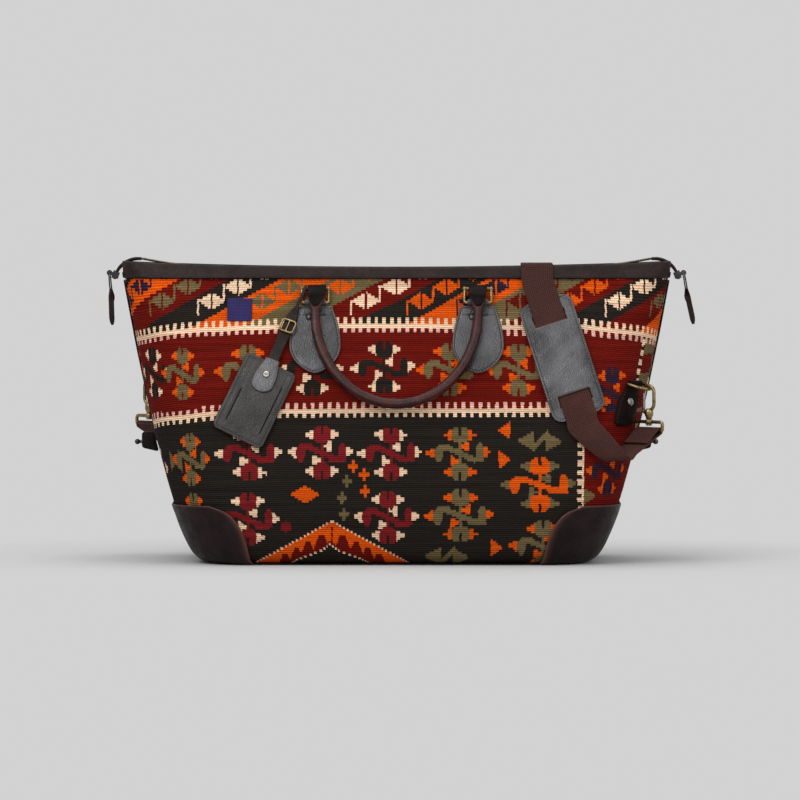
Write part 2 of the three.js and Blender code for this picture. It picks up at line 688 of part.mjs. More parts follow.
// Carrying rings stand up along the slope of the panels
const lean = (z) => Math.atan((halfDepth(z - 1) - halfDepth(z + 1)) / 2);
const RING_LEAN = lean(RING_BAR_Z + RING_HEIGHT / 2);
const RING_UP = vector(0, Math.sin(RING_LEAN), Math.cos(RING_LEAN));
const RING_OUT = vector(0, -Math.cos(RING_LEAN), Math.sin(RING_LEAN));
const ringBar = (x) => onFront(x, RING_BAR_Z, RING_STANDOFF);
const ringTop = (x) => ringBar(x).addScaledVector(RING_UP, RING_HEIGHT);
const LOOP_BORE = RING_WIRE + LOOP_CLEARANCE;
const LOOP_RADIUS = LOOP_BORE + LOOP_LEATHER;

function carryRing(x) {
  const half = RING_WIDTH / 2;
  const corners = [ringBar(x - half), ringBar(x + half), ringTop(x + half), ringTop(x - half)];
  const frame = wire(corners, RING_WIRE, RING_OUT, true);
  const balls = [corners[2], corners[3]].map((corner) => ball(corner, RING_BALL, 6, 3));
  return combine([frame, ...balls]);
}

// Leather loop round a bar that runs along x
function barLoop(centre, width) {
  const reach = vector(width / 2, 0, 0);
  const past = vector(width, 0, 0);
  return {
    body: rod(centre.clone().sub(reach), centre.clone().add(reach), LOOP_RADIUS),
    bore: rod(centre.clone().sub(past), centre.clone().add(past), LOOP_BORE),
  };
}

function handlePatch(x) {
  const upper = steps(4).map((share) => [
    lerp(HANDLE_PATCH_TOP_WIDTH, HANDLE_PATCH_WIDTH, Math.sin(radians(90 * share))) / 2,
    lerp(HANDLE_PATCH_TOP, HANDLE_PATCH_WIDEST, share),
  ]);
  const lower = steps(6).slice(1).map((share) => [
    HANDLE_PATCH_WIDTH / 2 * (1 - share ** 2) ** 0.65,
    lerp(HANDLE_PATCH_WIDEST, HANDLE_PATCH_TIP, share),
  ]);
  const right = [...upper, ...lower];
  const outline = [
    ...right.map(([half, z]) => [x + half, z]),
    ...right.slice(0, -1).reverse().map(([half, z]) => [x - half, z]),
  ];
  const outer = GAP + HANDLE_PATCH_THICKNESS;
  const fold = barLoop(ringBar(x), PATCH_LOOP_WIDTH);
  const tongue = rectangle(x, HANDLE_PATCH_TOP, PATCH_LOOP_WIDTH, 2 * (RING_BAR_Z - HANDLE_PATCH_TOP) + 2);
  return combine([drape(outline, GAP, outer, 5), drape(tongue, GAP, outer), fold.body], [fold.bore]);
}

// Handle: a flat loop at each ring narrows to a neck and goes on as a rolled tube
const HANDLE_STANDOFF = GAP + HANDLE_PATCH_THICKNESS + (HANDLE_RADIUS + GAP) / Math.cos(RING_LEAN);
const FOLD_STANDOFF = RING_STANDOFF + (LOOP_RADIUS + HANDLE_NECK_RADIUS / 2 + 2 * GAP) / Math.cos(RING_LEAN);

// The handle stands off over the patch's fold and settles towards the panel below it
const handleOffset = (z) => lerp(HANDLE_STANDOFF, FOLD_STANDOFF,
  THREE.MathUtils.clamp(1 - (HANDLE_NECK_Z - z) / HANDLE_SETTLE, 0, 1));

const handleHeight = (angle) => HANDLE_NECK_Z - HANDLE_DROP * Math.sin(radians(angle));

function handleGeometry() {
  const half = HANDLE_SPACING / 2;
  const endOf = (sign) => {
    const start = ringTop(sign * half).addScaledVector(RING_OUT, LOOP_BORE);
    const fold = onFront(sign * half, RING_BAR_Z + LOOP_RADIUS, FOLD_STANDOFF);
    const neck = onFront(sign * half, HANDLE_NECK_Z, FOLD_STANDOFF);
    return [
      { centre: start, wide: HANDLE_LOOP_WIDTH / 2, thick: LOOP_LEATHER },
      { centre: fold, wide: HANDLE_LOOP_WIDTH * HANDLE_FOLD_SHARE, thick: HANDLE_NECK_RADIUS / 2 },
      { centre: neck, wide: HANDLE_NECK_RADIUS, thick: HANDLE_NECK_RADIUS },
    ];
  };
  const bow = steps(16, 0, 180).slice(1, -1).map((angle) => ({
    centre: onFront(-half * Math.cos(radians(angle)),
      handleHeight(angle), handleOffset(handleHeight(angle))),
    wide: HANDLE_RADIUS,
    thick: HANDLE_RADIUS,
  }));
  const path = [...endOf(-1), ...bow, ...endOf(1).reverse()];
  const tube = loft(path.map(({ centre, wide, thick }, i) => {
    const before = path[Math.max(i - 1, 0)].centre;
    const after = path[Math.min(i + 1, path.length - 1)].centre;
    const tangent = after.clone().sub(before).normalize();
    const sideways = tangent.clone().cross(RING_OUT).normalize();
    const outwards = sideways.clone().cross(tangent);
    return steps(9, 0, 324).map((angle) => centre.clone()
      .addScaledVector(sideways, wide * Math.cos(radians(angle)))
      .addScaledVector(outwards, thick * Math.sin(radians(angle))));
  }));
  const loops = [-half, half].map((x) => barLoop(ringTop(x), HANDLE_LOOP_WIDTH));
  return combine([tube, ...loops.map((loop) => loop.body)], loops.map((loop) => loop.bore));
}

for (const [side, sign] of [['left', -1], ['right', 1]]) {
  const x = sign * HANDLE_SPACING / 2;
  const other = side === 'left' ? 'right' : 'left';
  addPiece(`handle_patch_front_${side}`, handlePatch(x), CHARCOAL_LEATHER);
  addPiece(`handle_patch_back_${other}`, turned(handlePatch(x)), CHARCOAL_LEATHER);
  addPiece(`handle_ring_front_${side}`, carryRing(x), BRASS);
  addPiece(`handle_ring_back_${other}`, turned(carryRing(x)), BRASS);
}
addPiece('handle_front', handleGeometry(), HANDLE_LEATHER);
addPiece('handle_back', turned(handleGeometry()), HANDLE_LEATHER);

// Luggage tag, hung on the left front ring by a narrow thong
const TAG_INNER = 2 * GAP;
const TAG_OUTER = TAG_INNER + TAG_LEATHERS;

function tagBody() {
  const tilt = radians(TAG_TILT);
  const corners = [[1, 1], [-1, 1], [-1, -1], [1, -1]];
  const place = (sx, sz, angle) => {
    const across = sx * (TAG_WIDTH / 2 - TAG_CORNER) + TAG_CORNER * Math.cos(radians(angle));
    const along = sz * (TAG_LENGTH / 2 - TAG_CORNER) + TAG_CORNER * Math.sin(radians(angle));
    return [
      TAG_CENTRE[0] + across * Math.cos(tilt) + along * Math.sin(tilt),
      TAG_CENTRE[1] - across * Math.sin(tilt) + along * Math.cos(tilt),
    ];
  };
  const outline = corners.flatMap(([sx, sz], quarter) =>
    steps(3, 90 * quarter, 90 * quarter + 90).map((angle) => place(sx, sz, angle)));
  return drape(outline, TAG_INNER, TAG_OUTER, 10);
}

const THONG_X = -HANDLE_SPACING / 2 - HANDLE_LOOP_WIDTH / 2 - 2 * GAP - THONG_WIDTH / 2;
const TAG_STRAP_OFFSET = TAG_OUTER + 3 * GAP + TAG_STRAP_THICKNESS / 2;

// The strap lies on the tag, then rises to pass over the ring's upright
function tagStrapPoint(share) {
  const top = ringTop(THONG_X).addScaledVector(RING_OUT, LOOP_BORE + TAG_STRAP_THICKNESS / 2 + GAP);
  const high = -top.y - halfDepth(top.z);
  const rise = THREE.MathUtils.smoothstep(share, ...TAG_STRAP_RISE);
  return onFront(lerp(TAG_STRAP_FOOT[0], top.x, share), lerp(TAG_STRAP_FOOT[1], top.z, share),
    lerp(TAG_STRAP_OFFSET, high, rise));
}

function tagStrapFrame(share) {
  const tangent = tagStrapPoint(share + 0.02).sub(tagStrapPoint(share - 0.02)).normalize();
  const across = tangent.clone().cross(RING_OUT).normalize();
  return { centre: tagStrapPoint(share), tangent, across, out: across.clone().cross(tangent) };
}

function tagStrap() {
  const strip = loft(TAG_STRAP_ROWS.map((share) => {
    const { centre, across, out } = tagStrapFrame(share);
    const half = (share > TAG_STRAP_RISE[1] ? THONG_WIDTH : TAG_STRAP_WIDTH) / 2;
    return [[-1, -1], [1, -1], [1, 1], [-1, 1]].map(([side, layer]) => centre.clone()
      .addScaledVector(across, side * half)
      .addScaledVector(out, layer * TAG_STRAP_THICKNESS / 2));
  }));
  const loop = barLoop(ringTop(THONG_X), THONG_WIDTH);
  return combine([strip, loop.body], [loop.bore]);
}

function tagBuckle() {
  const { centre, tangent, across, out } = tagStrapFrame(BUCKLE_AT);
  const middle = centre.addScaledVector(out, TAG_STRAP_THICKNESS / 2 + 2 * GAP + BUCKLE_WIRE);
  const corner = (side, end) => middle.clone()
    .addScaledVector(across, side * BUCKLE_WIDTH / 2)
    .addScaledVector(tangent, end * BUCKLE_LENGTH / 2);
  const frame = wire([corner(-1, -1), corner(1, -1), corner(1, 1), corner(-1, 1)], BUCKLE_WIRE, out, true);
  const prong = rod(corner(0, -1), corner(0, 1), BUCKLE_WIRE * 0.8, 8);
  return combine([frame, prong]);
}

// Low round dome with its flat side on the base point
function dome(base, out, radius, height, sides = 10) {
  const profile = [[0, 0], [radius, 0], [radius, height * 0.35], [radius * 0.7, height * 0.8], [0, height]];
  const geometry = new THREE.LatheGeometry(profile.map(([r, h]) => new THREE.Vector2(r, h)), sides);
  geometry.applyQuaternion(new THREE.Quaternion().setFromUnitVectors(vector(0, 1, 0), out));
  return geometry.translate(...base.toArray());
}

function tagSnap() {
  const { centre, out } = tagStrapFrame(SNAP_AT);
  return dome(centre.addScaledVector(out, TAG_STRAP_THICKNESS / 2 + GAP), out, SNAP_RADIUS, SNAP_HEIGHT);
}

addPiece('tag_body', tagBody(), TAG_LEATHER);
addPiece('tag_strap', tagStrap(), TAG_LEATHER);
addPiece('tag_buckle', tagBuckle(), BRASS);
addPiece('tag_snap', tagSnap(), BRASS);

// Right front corner: tab, D-ring and trigger hook, set out from the middle of the round corner
const CORNER_OUT = vector(Math.SQRT1_2, -Math.SQRT1_2, 0);
const CORNER_ALONG = vector(Math.SQRT1_2, Math.SQRT1_2, 0);
const UP = vector(0, 0, 1);
const onCorner = (along, z, offset) =>
  outlinePoint(cornerStation(45), z, offset).addScaledVector(CORNER_ALONG, along);
const D_BORE = D_WIRE + LOOP_CLEARANCE;
const D_LOOP_RADIUS = D_BORE + LOOP_LEATHER;
const D_CENTRE = onCorner(0, RING_TAB_TOP, GAP + D_LOOP_RADIUS);
const D_DOWN = CORNER_OUT.clone().multiplyScalar(Math.sin(radians(D_TILT)))
  .addScaledVector(UP, -Math.cos(radians(D_TILT)));
const D_LOWEST = D_CENTRE.clone().addScaledVector(D_DOWN, D_REACH);

function ringTab() {
  const half = RING_TAB_WIDTH / 2;
  const rows = [...RING_TAB_ROWS, [RING_TAB_TOP - RING_TAB_BOTTOM, 1]];
  const strip = loft(rows.map(([rise, share]) => {
    const z = RING_TAB_BOTTOM + rise;
    const reach = half * share;
    return [onCorner(-reach, z, GAP), onCorner(-reach, z, GAP + TRIM),
      onCorner(reach, z, GAP + TRIM), onCorner(reach, z, GAP)];
  }));
  const side = (reach) => D_CENTRE.clone().addScaledVector(CORNER_ALONG, reach);
  const loop = rod(side(-half), side(half), D_LOOP_RADIUS);
  return combine([strip, loop], [rod(side(-2 * half), side(2 * half), D_BORE)]);
}

function tabRivet() {
  const slope = onCorner(0, RING_TAB_RIVET + 1, 0).sub(onCorner(0, RING_TAB_RIVET - 1, 0)).normalize();
  const out = CORNER_ALONG.clone().cross(slope).normalize();
  const seat = onCorner(0, RING_TAB_RIVET, GAP + TRIM).addScaledVector(out, GAP);
  return dome(seat, out, RIVET_RADIUS, RIVET_HEIGHT);
}

function dRing() {
  const bow = steps(10, 0, 180).map((angle) => D_CENTRE.clone()
    .addScaledVector(CORNER_ALONG, D_BAR / 2 * Math.cos(radians(angle)))
    .addScaledVector(D_DOWN, D_REACH * Math.sin(radians(angle))));
  return wire(bow, D_WIRE, CORNER_ALONG.clone().cross(D_DOWN), true);
}

// Hook: an open eye over the D-ring, a body with a swivel pin, and a hinged gate
const HOOK_HALF = HOOK_EYE_WIDTH / 2 - HOOK_WIRE;
const HOOK_TOP = D_LOWEST.z + D_WIRE + GAP + HOOK_WIRE;
const HOOK_FOOT = HOOK_TOP - HOOK_EYE_HEIGHT + 2 * HOOK_WIRE;
const HOOK_SHOULDER = HOOK_TOP - HOOK_HALF;
const HOOK_BASE = HOOK_FOOT - HOOK_BODY_HEIGHT;
const onHook = (out, z) => vector(D_LOWEST.x, D_LOWEST.y, z).addScaledVector(CORNER_OUT, out);
const GATE_TIP = HOOK_SHOULDER - 2 * GAP;
const GATE_PIVOT = GATE_TIP - HOOK_GATE_LENGTH;
const BOSS_CENTRE = HOOK_BASE - SWIVEL_GAP - BOSS_HEIGHT / 2;
const aroundHook = (radius, z) => steps(9, 0, 324).map((angle) =>
  onHook(radius * Math.cos(radians(angle)), z)
    .addScaledVector(CORNER_ALONG, radius * Math.sin(radians(angle))));

function hookBody() {
  const rise = steps(3, 0, 90).map((angle) => onHook(
    HOOK_HALF * Math.sin(radians(angle)), HOOK_FOOT + HOOK_HALF * (1 - Math.cos(radians(angle)))));
  const over = steps(7, 0, 180).map((angle) => onHook(
    HOOK_HALF * Math.cos(radians(angle)), HOOK_SHOULDER + HOOK_HALF * Math.sin(radians(angle))));
  const eye = wire([...rise, ...over], HOOK_WIRE, CORNER_ALONG);
  const barrel = loft([
    aroundHook(HOOK_BODY_RADIUS, HOOK_FOOT + HOOK_WIRE),
    aroundHook(SWIVEL_NECK + 1, HOOK_BASE),
  ]);
  const arm = rod(onHook(0, HOOK_FOOT), onHook(-HOOK_HALF, GATE_PIVOT - 2 * HOOK_GATE_RADIUS - 2 * GAP),
    HOOK_WIRE, 8);
  const below = BOSS_CENTRE - BOSS_HEIGHT / 2 - SWIVEL_GAP;
  const pin = rod(onHook(0, HOOK_BASE + 1), onHook(0, below - PIN_HEAD / 2), SWIVEL_NECK);
  const head = rod(onHook(0, below), onHook(0, below - PIN_HEAD), PIN_HEAD_RADIUS);
  return combine([eye, barrel, arm, pin, head]);
}

function hookGate() {
  const pivot = onHook(-HOOK_HALF, GATE_PIVOT);
  return combine([
    rod(pivot, onHook(-HOOK_HALF, GATE_TIP), HOOK_GATE_RADIUS, 8),
    ball(pivot, HOOK_GATE_RADIUS, 8),
  ]);
}

const LOOP_HALF = WEBBING_WIDTH / 2 + 2 * GAP + HOOK_WIRE;
const STRAP_BAR = BOSS_CENTRE - SWIVEL_LOOP_HEIGHT;
const bossRod = (height, radius) =>
  rod(onHook(0, BOSS_CENTRE - height / 2), onHook(0, BOSS_CENTRE + height / 2), radius);

function swivelLoop() {
  const corners = [
    onHook(-LOOP_HALF, STRAP_BAR),
    onHook(LOOP_HALF, STRAP_BAR),
    onHook(LOOP_HALF, BOSS_CENTRE),
    onHook(-LOOP_HALF, BOSS_CENTRE),
  ];
  const frame = wire(corners, HOOK_WIRE, CORNER_ALONG, true);
  const bore = bossRod(2 * BOSS_HEIGHT, SWIVEL_NECK + SWIVEL_GAP);
  return combine([frame, bossRod(BOSS_HEIGHT, BOSS_RADIUS)], [bore]);
}

const cornerPieces = [
  ['ring_tab', ringTab(), TAB_LEATHER],
  ['tab_rivet', tabRivet(), BRASS],
  ['d_ring', dRing(), BRASS],
  ['hook_body', hookBody(), BRASS],
  ['hook_gate', hookGate(), STEEL],
  ['swivel_loop', swivelLoop(), BRASS],
];
for (const [name, geometry, surface] of cornerPieces) {
  addPiece(`${name}_front`, geometry, surface);
  addPiece(`${name}_back`, turned(geometry), surface);
}

// Shoulder pad: two slots let the webbing pass behind its middle
const STRAP_LIFT = GAP + PAD_LEATHER + GAP + WEBBING / 2;
const STRAP_BEHIND = 2 * GAP + WEBBING / 2;
const PAD_FLAP = GAP + PAD_LEATHER / 2;
const PAD_MIDDLE = 2 * GAP + WEBBING + GAP + PAD_LEATHER / 2;
const PAD_END = PAD_START + PAD_LENGTH;
const SLOTS = [PAD_START + PAD_SLOT_INSET, PAD_END - PAD_SLOT_INSET - PAD_SLOT];
const PAD_RUNS = steps(4, SLOTS[0] + PAD_SLOT, SLOTS[1]);

// Share of the way from the flaps to the middle of the pad, along the strap
function padDepth(run) {
  const enter = (run - SLOTS[0]) / PAD_SLOT;
  const leave = (SLOTS[1] + PAD_SLOT - run) / PAD_SLOT;
  return THREE.MathUtils.clamp(Math.min(enter, leave), 0, 1);
}

// The strap starts level at the rim and then leans towards the corner
const strapLean = (run) => radians(STRAP_TILT) * THREE.MathUtils.smoothstep(run, 0, STRAP_TURN);
const STRAP_TOP_Z = rimTop(STRAP_TOP_X);

function strapPlace(run, across, offset) {
  const shift = Math.max(run - STRAP_TURN / 2, 0) * Math.sin(radians(STRAP_TILT));
  const drop = run * Math.cos(strapLean(run));
  return onFront(STRAP_TOP_X + shift + across * Math.cos(strapLean(run)),
    STRAP_TOP_Z - drop + across * Math.sin(strapLean(run)), offset);
}

function padGeometry() {
  const rows = [
    ...PAD_ENDS.map(([inset, share]) => [PAD_START + inset, share]),
    [SLOTS[0], 1],
    ...PAD_RUNS.map((run) => [run, 1]),
    [SLOTS[1] + PAD_SLOT, 1],
    ...PAD_ENDS.map(([inset, share]) => [PAD_END - inset, share]).reverse(),
  ];
  const edges = [-1, -0.5, 0, 0.5, 1];
  const whole = loft(rows.map(([run, share]) => {
    const middle = lerp(PAD_FLAP, PAD_MIDDLE, padDepth(run));
    const layer = (side) => edges.map((edge) =>
      strapPlace(run, edge * share * PAD_WIDTH / 2, middle + side * PAD_LEATHER / 2));
    return rowSection(layer(-1), layer(1));
  }));
  const half = WEBBING_WIDTH / 2 + 5 * GAP;
  const [under, over] = PAD_SLOT_DEPTH;
  const slots = SLOTS.map((slot) => loft([slot, slot + PAD_SLOT].map((run) => [
    strapPlace(run, -half, under),
    strapPlace(run, -half, over),
    strapPlace(run, half, over),
    strapPlace(run, half, under),
  ])));
  return combine([whole], slots);
}
addPiece('strap_pad', padGeometry(), CHARCOAL_LEATHER);

// Shoulder strap: one length of webbing, given as rows of four corners
const HALF_WEB = WEBBING_WIDTH / 2;
const HALF_THICK = WEBBING / 2;
const CORNERS = [[-1, -1], [-1, 1], [1, 1], [1, -1]];

const webbingRow = (centre, across, out) => CORNERS.map(([side, layer]) => centre.clone()
  .addScaledVector(across, side * HALF_WEB)
  .addScaledVector(out, layer * HALF_THICK));

// Free rows between the panels and a hook: a turn below it and a straight run up to its bar
const RAMP = CORNER_ALONG.clone().multiplyScalar(Math.cos(radians(RAMP_ANGLE)))
  .addScaledVector(UP, Math.sin(radians(RAMP_ANGLE)));
const RAMP_UP = CORNER_OUT.clone().cross(RAMP).negate();
const BAR_WRAP = HOOK_WIRE + GAP + HALF_THICK;
const onRamp = (run, rise) => onHook(0, STRAP_BAR).addScaledVector(RAMP, run).addScaledVector(RAMP_UP, rise);

function hookRows(turn) {
  const bottom = onRamp(-RAMP_LENGTH - TURN_REACH, BAR_WRAP).add(vector(0, -TURN_REACH / 2, 0));
  const climb = [-RAMP_LENGTH, -RAMP_LENGTH / 2, -DOUBLED / 2]
    .map((run) => webbingRow(onRamp(run, BAR_WRAP), CORNER_OUT, RAMP_UP));
  const round = steps(6, 0, 180).map((angle) => {
    const out = RAMP_UP.clone().multiplyScalar(Math.cos(radians(angle)))
      .addScaledVector(RAMP, Math.sin(radians(angle)));
    return webbingRow(onRamp(0, 0).addScaledVector(out, BAR_WRAP), CORNER_OUT, out);
  });
  const under = RAMP_UP.clone().negate();
  const tuck = BAR_WRAP - WEBBING - 2 * GAP;
  const back = [[DOUBLED * 0.4, -BAR_WRAP * 0.5], [DOUBLED * 0.7, tuck], [DOUBLED, tuck]]
    .map(([run, rise]) => webbingRow(onRamp(-run, rise), CORNER_OUT, under));
  return [turn(bottom), ...climb, ...round, ...back];
}

function frontRows() {
  const runs = [...steps(3, RIM_TURN, PAD_START), SLOTS[0], ...PAD_RUNS, SLOTS[1] + PAD_SLOT,
    PAD_END, PAD_END + STRAP_PAST_PAD];
  return runs.map((run) => {
    const offset = lerp(STRAP_LIFT, STRAP_BEHIND, padDepth(run));
    return CORNERS.map(([side, layer]) => strapPlace(run, side * HALF_WEB, offset + layer * HALF_THICK));
  });
}

// Front turn: the webbing twists off the panel and faces along the corner
function frontTurn(bottom) {
  const across = CORNER_OUT.clone().add(vector(0.2, 0, 0.1)).normalize();
  return webbingRow(bottom, across, vector(0, 0, -1));
}

// Over the mouth, resting on both rims
function mouthRows() {
  const z = rimTop(STRAP_TOP_X + HALF_WEB) + GAP;
  const edge = halfDepth(z) + GAP + STRIP_OUTSIDE;
  const level = (y) => CORNERS.map(([side, layer]) =>
    vector(STRAP_TOP_X + side * HALF_WEB, y, z + HALF_THICK + layer * HALF_THICK));
  const bend = (sign) => CORNERS.map(([side, layer]) => {
    const lift = (1 + layer) * HALF_THICK * Math.SQRT1_2;
    return vector(STRAP_TOP_X + side * HALF_WEB, sign * (edge + lift), z + lift);
  });
  return [bend(-1), level(-edge * 0.6), level(0), level(edge * 0.6), bend(1)];
}

function onBack(x, z, offset) {
  const radius = cornerRadius(z);
  const past = Math.max(Math.abs(x) - halfLength(z) + radius, 0);
  const drop = radius + offset - Math.sqrt(Math.max((radius + offset) ** 2 - past ** 2, 0));
  return vector(x, halfDepth(z) + offset - drop, z);
}

// Behind the bag the slack hangs below the back handle and runs to the far corner
function backRows() {
  const route = new THREE.SplineCurve(BACK_ROUTE.map(([x, z]) => new THREE.Vector2(x, z)));
  return route.getPoints(BACK_STEPS).map((place, i) => {
    const tangent = route.getTangent(i / BACK_STEPS);
    const offset = (place.y > RIM_BOTTOM - WEBBING_WIDTH ? STRAP_LIFT : STRAP_SLACK);
    return CORNERS.map(([side, layer]) => onBack(place.x - side * HALF_WEB * tangent.y,
      place.y + side * HALF_WEB * tangent.x, offset + layer * HALF_THICK));
  });
}

// Back turn, as seen in the front corner's frame: the webbing twists flat as it leaves the panel
function backTurn(bottom) {
  const across = CORNER_OUT.clone().add(vector(0, 0, 0.5)).normalize();
  return webbingRow(bottom, across, vector(0.3, 0, -1).normalize());
}

function strapGeometry() {
  const front = [...frontRows(), ...hookRows(frontTurn)];
  const behind = hookRows(backTurn).map((row) => row.map((point) => point.applyMatrix4(HALF_TURN)));
  return loft([...front.reverse(), ...mouthRows(), ...backRows(), ...behind]);
}
addPiece('strap_webbing', strapGeometry(), WEBBING_CLOTH);

export default bag;
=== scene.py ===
"""Looks of a woven weekender bag: kilim panels, leather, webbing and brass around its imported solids."""

from math import atan, cos, pi, radians, sin, sqrt

import bmesh
import bpy
import numpy as np
from bpy.props import FloatProperty, FloatVectorProperty, PointerProperty
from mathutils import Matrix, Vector


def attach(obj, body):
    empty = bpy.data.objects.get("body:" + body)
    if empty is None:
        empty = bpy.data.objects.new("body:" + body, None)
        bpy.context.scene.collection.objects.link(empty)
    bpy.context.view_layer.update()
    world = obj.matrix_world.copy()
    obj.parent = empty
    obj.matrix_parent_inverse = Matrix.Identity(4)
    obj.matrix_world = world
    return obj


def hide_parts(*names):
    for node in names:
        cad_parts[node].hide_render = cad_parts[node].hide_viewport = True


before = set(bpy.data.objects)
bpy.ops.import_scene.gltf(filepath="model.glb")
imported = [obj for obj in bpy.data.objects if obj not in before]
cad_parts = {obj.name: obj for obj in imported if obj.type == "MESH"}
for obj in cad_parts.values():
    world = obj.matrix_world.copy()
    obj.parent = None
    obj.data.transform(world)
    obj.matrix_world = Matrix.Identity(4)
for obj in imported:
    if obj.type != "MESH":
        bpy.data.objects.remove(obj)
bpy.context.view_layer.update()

bl_info = {
    "name": "Kilim weekender bag",
    "version": (1, 0, 0),
    "blender": (4, 5, 0),
    "location": "View3D > Sidebar > Weekender",
    "description": "Dresses a kilim and leather weekender bag",
    "category": "Object",
}

# Lengths below are in millimetres, as in the part's drawing; meshes are made in metres
MM = 0.001

# Bag body
BAG_HEIGHT, BASE_LENGTH, MOUTH_LENGTH = 305, 384, 557
BASE_DEPTH, BELLY_DEPTH, BELLY_HEIGHT, MOUTH_DEPTH = 210, 236, 60, 36
CORNER_RADIUS, CORNER_SHARE, END_FLARE, SIDE_SLOPE = 60, 0.92, 0.62, 1.6
GAP, KILIM, TRIM = 0.3, 3, 2
PANEL_TOP, PANEL_BOTTOM, BOTTOM_ROLL = 290, 2.3, 14
ROLL_CENTRE = PANEL_BOTTOM + BOTTOM_ROLL
SEAM = 0.3

# Photograph's pixel that stands for the middle of the bag and for the floor
PIXEL_X, PIXEL_Z = 396.5, 565


def srgb(red, green, blue):
    """Colour as written in 0 to 255, turned into linear light."""
    def linear(value):
        value = value / 255
        return value / 12.92 if value <= 0.04045 else ((value + 0.055) / 1.055) ** 2.4
    return (linear(red), linear(green), linear(blue))


def colour_prop(name, description, rgb):
    return FloatVectorProperty(name=name, description=description, subtype="COLOR", size=3,
                               min=0, max=1, default=srgb(*rgb))


def length_prop(name, description, metres):
    return FloatProperty(name=name, description=description, subtype="DISTANCE", unit="LENGTH",
                         default=metres, min=0)


class BagYarns(bpy.types.PropertyGroup):
    """Dyed wool of the kilim."""
    black: colour_prop("Black", "Ground of the lower field", (39, 34, 30))
    madder: colour_prop("Madder", "Ground of the middle band", (109, 20, 12))
    crimson: colour_prop("Crimson", "Motifs on the black field", (127, 31, 34))
    orange: colour_prop("Orange", "Bright motifs and stripes", (232, 88, 12))
    olive: colour_prop("Olive", "Muted motifs and stripes", (115, 99, 66))
    cream: colour_prop("Cream", "Comb lines and motif tips", (250, 211, 176))
    pink: colour_prop("Pink", "Comb teeth over the red band", (240, 190, 172))
    indigo: colour_prop("Indigo", "Dark blue accents", (48, 34, 50))


class BagLeathers(bpy.types.PropertyGroup):
    """Leather, webbing and metal colours."""
    rim: colour_prop("Rim", "Binding of the mouth and the end strips", (36, 24, 22))
    corner: colour_prop("Corner", "Bottom corner patches and base", (32, 21, 21))
    charcoal: colour_prop("Charcoal", "Handle patches and shoulder pad", (65, 65, 68))
    handle: colour_prop("Handle", "Rolled handles", (54, 20, 18))
    tag: colour_prop("Tag", "Luggage tag", (47, 44, 43))
    tab: colour_prop("Tab", "Corner tabs and zip pulls", (17, 9, 6))
    webbing: colour_prop("Webbing", "Shoulder strap", (76, 46, 41))
    thread: colour_prop("Thread", "Stitching", (22, 16, 14))
    label: colour_prop("Label", "Bare cloth label", (43, 36, 86))
    brass: colour_prop("Brass", "Rings and hooks", (150, 130, 90))


class BagSizes(bpy.types.PropertyGroup):
    """Sizes of the fine detail."""
    rib: length_prop("Weft rib", "Height of one woven rib", 0.0021)
    relief: length_prop("Rib relief", "How far a rib stands out", 0.0008)
    stitch_pitch: length_prop("Stitch pitch", "Distance between stitches", 0.0031)
    stitch_length: length_prop("Stitch length", "Length of one stitch", 0.0021)
    thread: length_prop("Thread", "Thickness of the thread", 0.0007)
    tooth_pitch: length_prop("Tooth pitch", "Distance between zip teeth", 0.0026)


class BagLooks(bpy.types.PropertyGroup):
    """Everything a user may change on the bag's looks."""
    yarns: PointerProperty(name="Yarns", description="Wool colours", type=BagYarns)
    leathers: PointerProperty(name="Leathers", description="Leather and metal colours", type=BagLeathers)
    sizes: PointerProperty(name="Sizes", description="Sizes of the fine detail", type=BagSizes)


def looks():
    return bpy.context.scene.weekender


# Mesh helpers

def vec(*values):
    return np.array(values, dtype=float)


HALF_TURN = vec(-1, -1, 1)
X_AXIS, Y_AXIS, UP = np.eye(3)
FRONT_BACK = (("front", vec(1, 1, 1)), ("back", HALF_TURN))
LEFT_RIGHT = (("left", -1), ("right", 1))


def unit(v):
    v = np.asarray(v, dtype=float)
    return v / np.maximum(np.linalg.norm(v, axis=-1, keepdims=True), 1e-9)


def headings(path):
    return unit(np.gradient(path, axis=0))


def full_turn(steps):
    return np.linspace(0, 2 * pi, steps, endpoint=False)[:, None]


def smoothstep(value, low, high):
    share = np.clip((np.asarray(value, dtype=float) - low) / (high - low), 0, 1)
    return share * share * (3 - 2 * share)


def wobble(u, v, seed):
    """Soft repeatable unevenness between -1 and 1 over two coordinates."""
    total, weight = 0, 0
    for k in range(3):
        turn = seed * 1.7 + k * 2.3
        scale = 1.9 ** k
        total = total + (np.sin(scale * (u * cos(turn) + v * sin(turn)) + 3.1 * turn)
                         * np.cos(scale * (v * cos(turn) - u * sin(turn)) * 0.83 + turn)) / scale
        weight += 1 / scale
    return total / weight


def grid_quads(rows, columns, loop_rows=False, loop_columns=False, start=0):
    """Corner numbers of the squares of a grid of points."""
    r = np.arange(rows if loop_rows else rows - 1)
    c = np.arange(columns if loop_columns else columns - 1)
    r, c = np.meshgrid(r, c, indexing="ij")
    r2, c2 = (r + 1) % rows, (c + 1) % columns
    quads = np.stack([r * columns + c, r * columns + c2, r2 * columns + c2, r2 * columns + c], axis=-1)
    return quads.reshape(-1, 4) + start


def outwards(mesh):
    """Turns all faces of a closed mesh outwards."""
    shell = bmesh.new()
    shell.from_mesh(mesh)
    bmesh.ops.remove_doubles(shell, verts=shell.verts, dist=1e-7)
    bmesh.ops.recalc_face_normals(shell, faces=shell.faces)
    shell.to_mesh(mesh)
    shell.free()


def new_object(name, data):
    item = bpy.data.objects.new(name, data)
    bpy.context.collection.objects.link(item)
    return item


